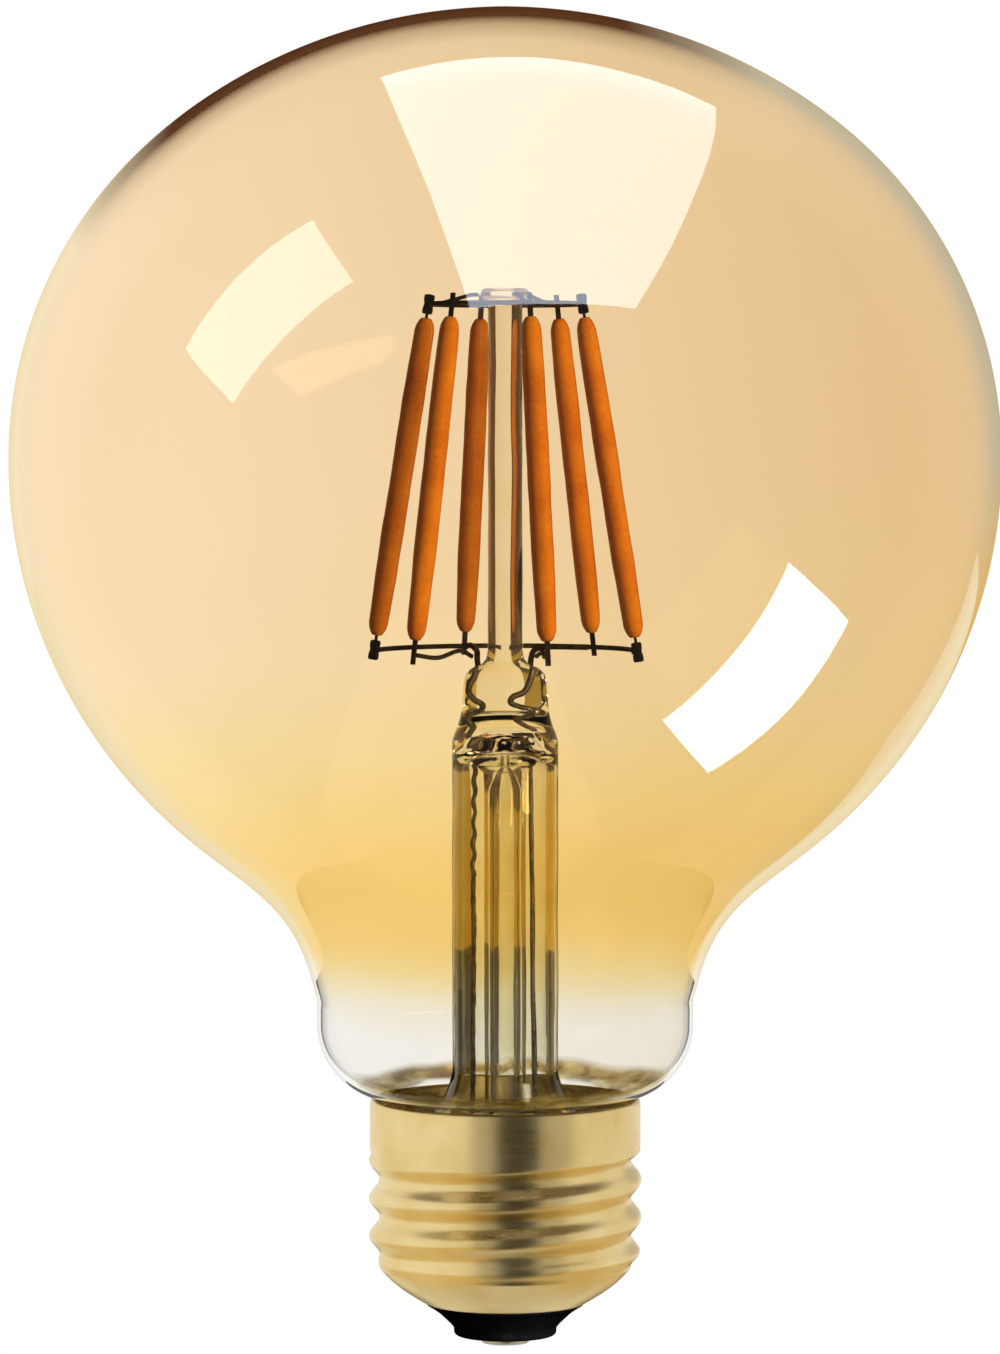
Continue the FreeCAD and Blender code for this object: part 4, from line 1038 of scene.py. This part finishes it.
# what the rims of the globe show: white paper low and on the left, grey on the right
PAPER, KRAFT = (1, 0.99, 0.96), (0.82, 0.68, 0.42)
CAP_CARD_RADIUS = 0.027
CARD_FOOT = -0.05
LOW_LEFT, LOW_RIGHT, RIGHT = (1, 0.98, 0.8), (0.82, 0.62, 0.34), (0.60, 0.61, 0.64)
CROWN, LEFT = (0.09, 0.027, 0.005), (1, 1, 1)
AWAY = 0.92
corners = [[(x * AWAY, AWAY, GLOBE_CENTRE.z + z * AWAY) for x in (-4, 4)] for z in (-3, 6)]
back_wall = card("back_wall", corners, LEFT, 1.0, fade=(0.5, 3.2), around=[
    (-180, LEFT), (-150, LEFT), (-125, LOW_LEFT), (-75, LOW_LEFT), (-50, LOW_RIGHT), (-18, LOW_RIGHT),
    (0, RIGHT), (58, RIGHT), (76, CROWN), (132, CROWN), (152, LEFT), (180, LEFT),
])
# white paper round the cap, open towards the camera, and under it
cap_things = [bpy.data.objects[name] for name in ("cap_shell", "centre_contact_cup")]
only_for("lit_by_back_wall", back_wall, [globe, stem, button] + cap_things)
low_back = card(
    "paper_behind", [[(-0.25, 0.3, z), (0.25, 0.3, z)] for z in (-0.1, 0.034)], PAPER, 0.95,
)
only_for("lit_by_paper_behind", low_back, [globe] + cap_things)
# the darker table edge, which the neck's rounded foot shows
table = card("table_behind", [
    [(-0.09, 0.299, -0.078), (0, 0.299, 0.0), (0.09, 0.299, -0.078)],
    [(-0.09, 0.299, -0.16), (0, 0.299, -0.16), (0.09, 0.299, -0.16)],
], (0.15, 0.15, 0.16), 1.0)
only_for("lit_by_table_behind", table, [globe])
for name, start, end, strength in (
    ("left", -115, -22, 0.95),
    ("left_edge", -22, -6, 0.5),
    ("right_edge", 22, 44, 0.55),
    ("right", 44, 115, 0.88),
):
    for layer, low, high, colour in (("low", CARD_FOOT, 0.002, KRAFT), ("level", 0.002, 0.032, PAPER)):
        label = "cap_" + name + "_" + layer
        paper_card = bent_card(label, start, end, CAP_CARD_RADIUS, low, high, colour, strength)
        only_for("lit_by_" + label, paper_card, cap_things)
corners = [[(x, y, CARD_FOOT) for x in (-0.03, 0.03)] for y in (-0.03, 0.03)]
under = card("cap_under", corners, (1, 0.98, 0.94), 0.7)
only_for("lit_by_under", under, cap_things)
# dark sides, which only thick glass shows at its edges
for name, start, end, shade in (("dark_left", -167, -35, 1.0), ("dark_right", 70, 156, 1.7)):
    for layer, low, high, colour in (
        ("low", 0.001, 0.029, (0.08, 0.07, 0.055)),
        ("middle", 0.029, 0.0565, (0.40, 0.29, 0.06)),
        ("high", 0.0565, 0.2, (0.07, 0.035, 0.012)),
    ):
        label = name + "_" + layer
        bent_card(label, start, end, 0.10, low, high, colour, shade, glossy=False, through=True)

floor_mesh = bpy.data.meshes.new("floor")
floor_bm = bmesh.new()
bmesh.ops.create_circle(floor_bm, cap_ends=True, radius=4.0, segments=96)
floor_bm.to_mesh(floor_mesh)
floor_bm.free()
floor = bpy.data.objects.new("floor", floor_mesh)
scene.collection.objects.link(floor)
floor.location.z = -0.0002
floor.visible_glossy = False
floor.visible_diffuse = False
paper = Nodes("white_paper")
sheet = paper.add("ShaderNodeEmission")
paper.feed(sheet, Color=(1, 1, 1, 1), Strength=1.0)
floor_mesh.materials.append(paper.finish(sheet))
floor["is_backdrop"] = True

# a white room that mirrors show as dark, as a studio is dark beyond its lights
world = bpy.data.worlds.new("studio")
scene.world = world
world.use_nodes = True
room = world.node_tree.nodes["Background"]
room.inputs["Color"].default_value = (1, 1, 1, 1)
AMBIENT_MATT, AMBIENT_MIRROR = 0.13, 0.05
path = world.node_tree.nodes.new("ShaderNodeLightPath")


def world_math(operation, first, second):
    node = world.node_tree.nodes.new("ShaderNodeMath")
    node.operation = operation
    for socket, value in zip(node.inputs, (first, second)):
        if isinstance(value, bpy.types.NodeSocket):
            world.node_tree.links.new(value, socket)
        else:
            socket.default_value = value
    return node.outputs["Value"]


mirror_ray = world_math("MULTIPLY", path.outputs["Is Glossy Ray"],
                        world_math("SUBTRACT", 1.0, path.outputs["Is Transmission Ray"]))
strength = world_math("SUBTRACT", 1.0, world_math("MULTIPLY", mirror_ray, 1 - AMBIENT_MIRROR))
matt_ray = world_math("MULTIPLY", path.outputs["Is Diffuse Ray"], 1 - AMBIENT_MATT)
strength = world_math("SUBTRACT", strength, matt_ray)
world.node_tree.links.new(strength, room.inputs["Strength"])


def area_light(name, position, target, width, depth, power, colour):
    data = bpy.data.lights.new(name, "AREA")
    data.shape = "RECTANGLE"
    data.size, data.size_y = width, depth
    data.energy = power
    data.color = colour
    lamp = bpy.data.objects.new(name, data)
    lamp.location = position
    lamp.rotation_euler = (Vector(target) - Vector(position)).to_track_quat("-Z", "Y").to_euler()
    lamp.visible_glossy = False
    lamp.visible_camera = False
    scene.collection.objects.link(lamp)
    return lamp


# light for the filaments from the right
area_light("fill_back", (-0.36, 0.40, 0.15), (0, 0, 0.085), 0.15, 0.3, 1.3, (1, 0.97, 0.9))
area_light("fill_right", (0.42, -0.32, 0.17), (0, 0, 0.085), 0.15, 0.3, 4.0, (1, 0.97, 0.9))

camera_data = bpy.data.cameras.new("camera")
camera = bpy.data.objects.new("camera", camera_data)
scene.collection.objects.link(camera)
camera_data.lens = 150
camera_data.sensor_width = 36
CAMERA_DISTANCE = 0.5425
CAMERA_RISE = math.radians(2.7)
target = Vector((-0.0005, 0, 0.0644))
camera.location = target + Vector((0, -math.cos(CAMERA_RISE), math.sin(CAMERA_RISE))) * CAMERA_DISTANCE
camera.rotation_euler = (target - camera.location).to_track_quat("-Z", "Y").to_euler()
camera_data.clip_start = 0.01
scene.camera = camera
scene.view_settings.view_transform = "Standard"

# --- sizes, kept before finishing ----------------------------------------------------------

low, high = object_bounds()
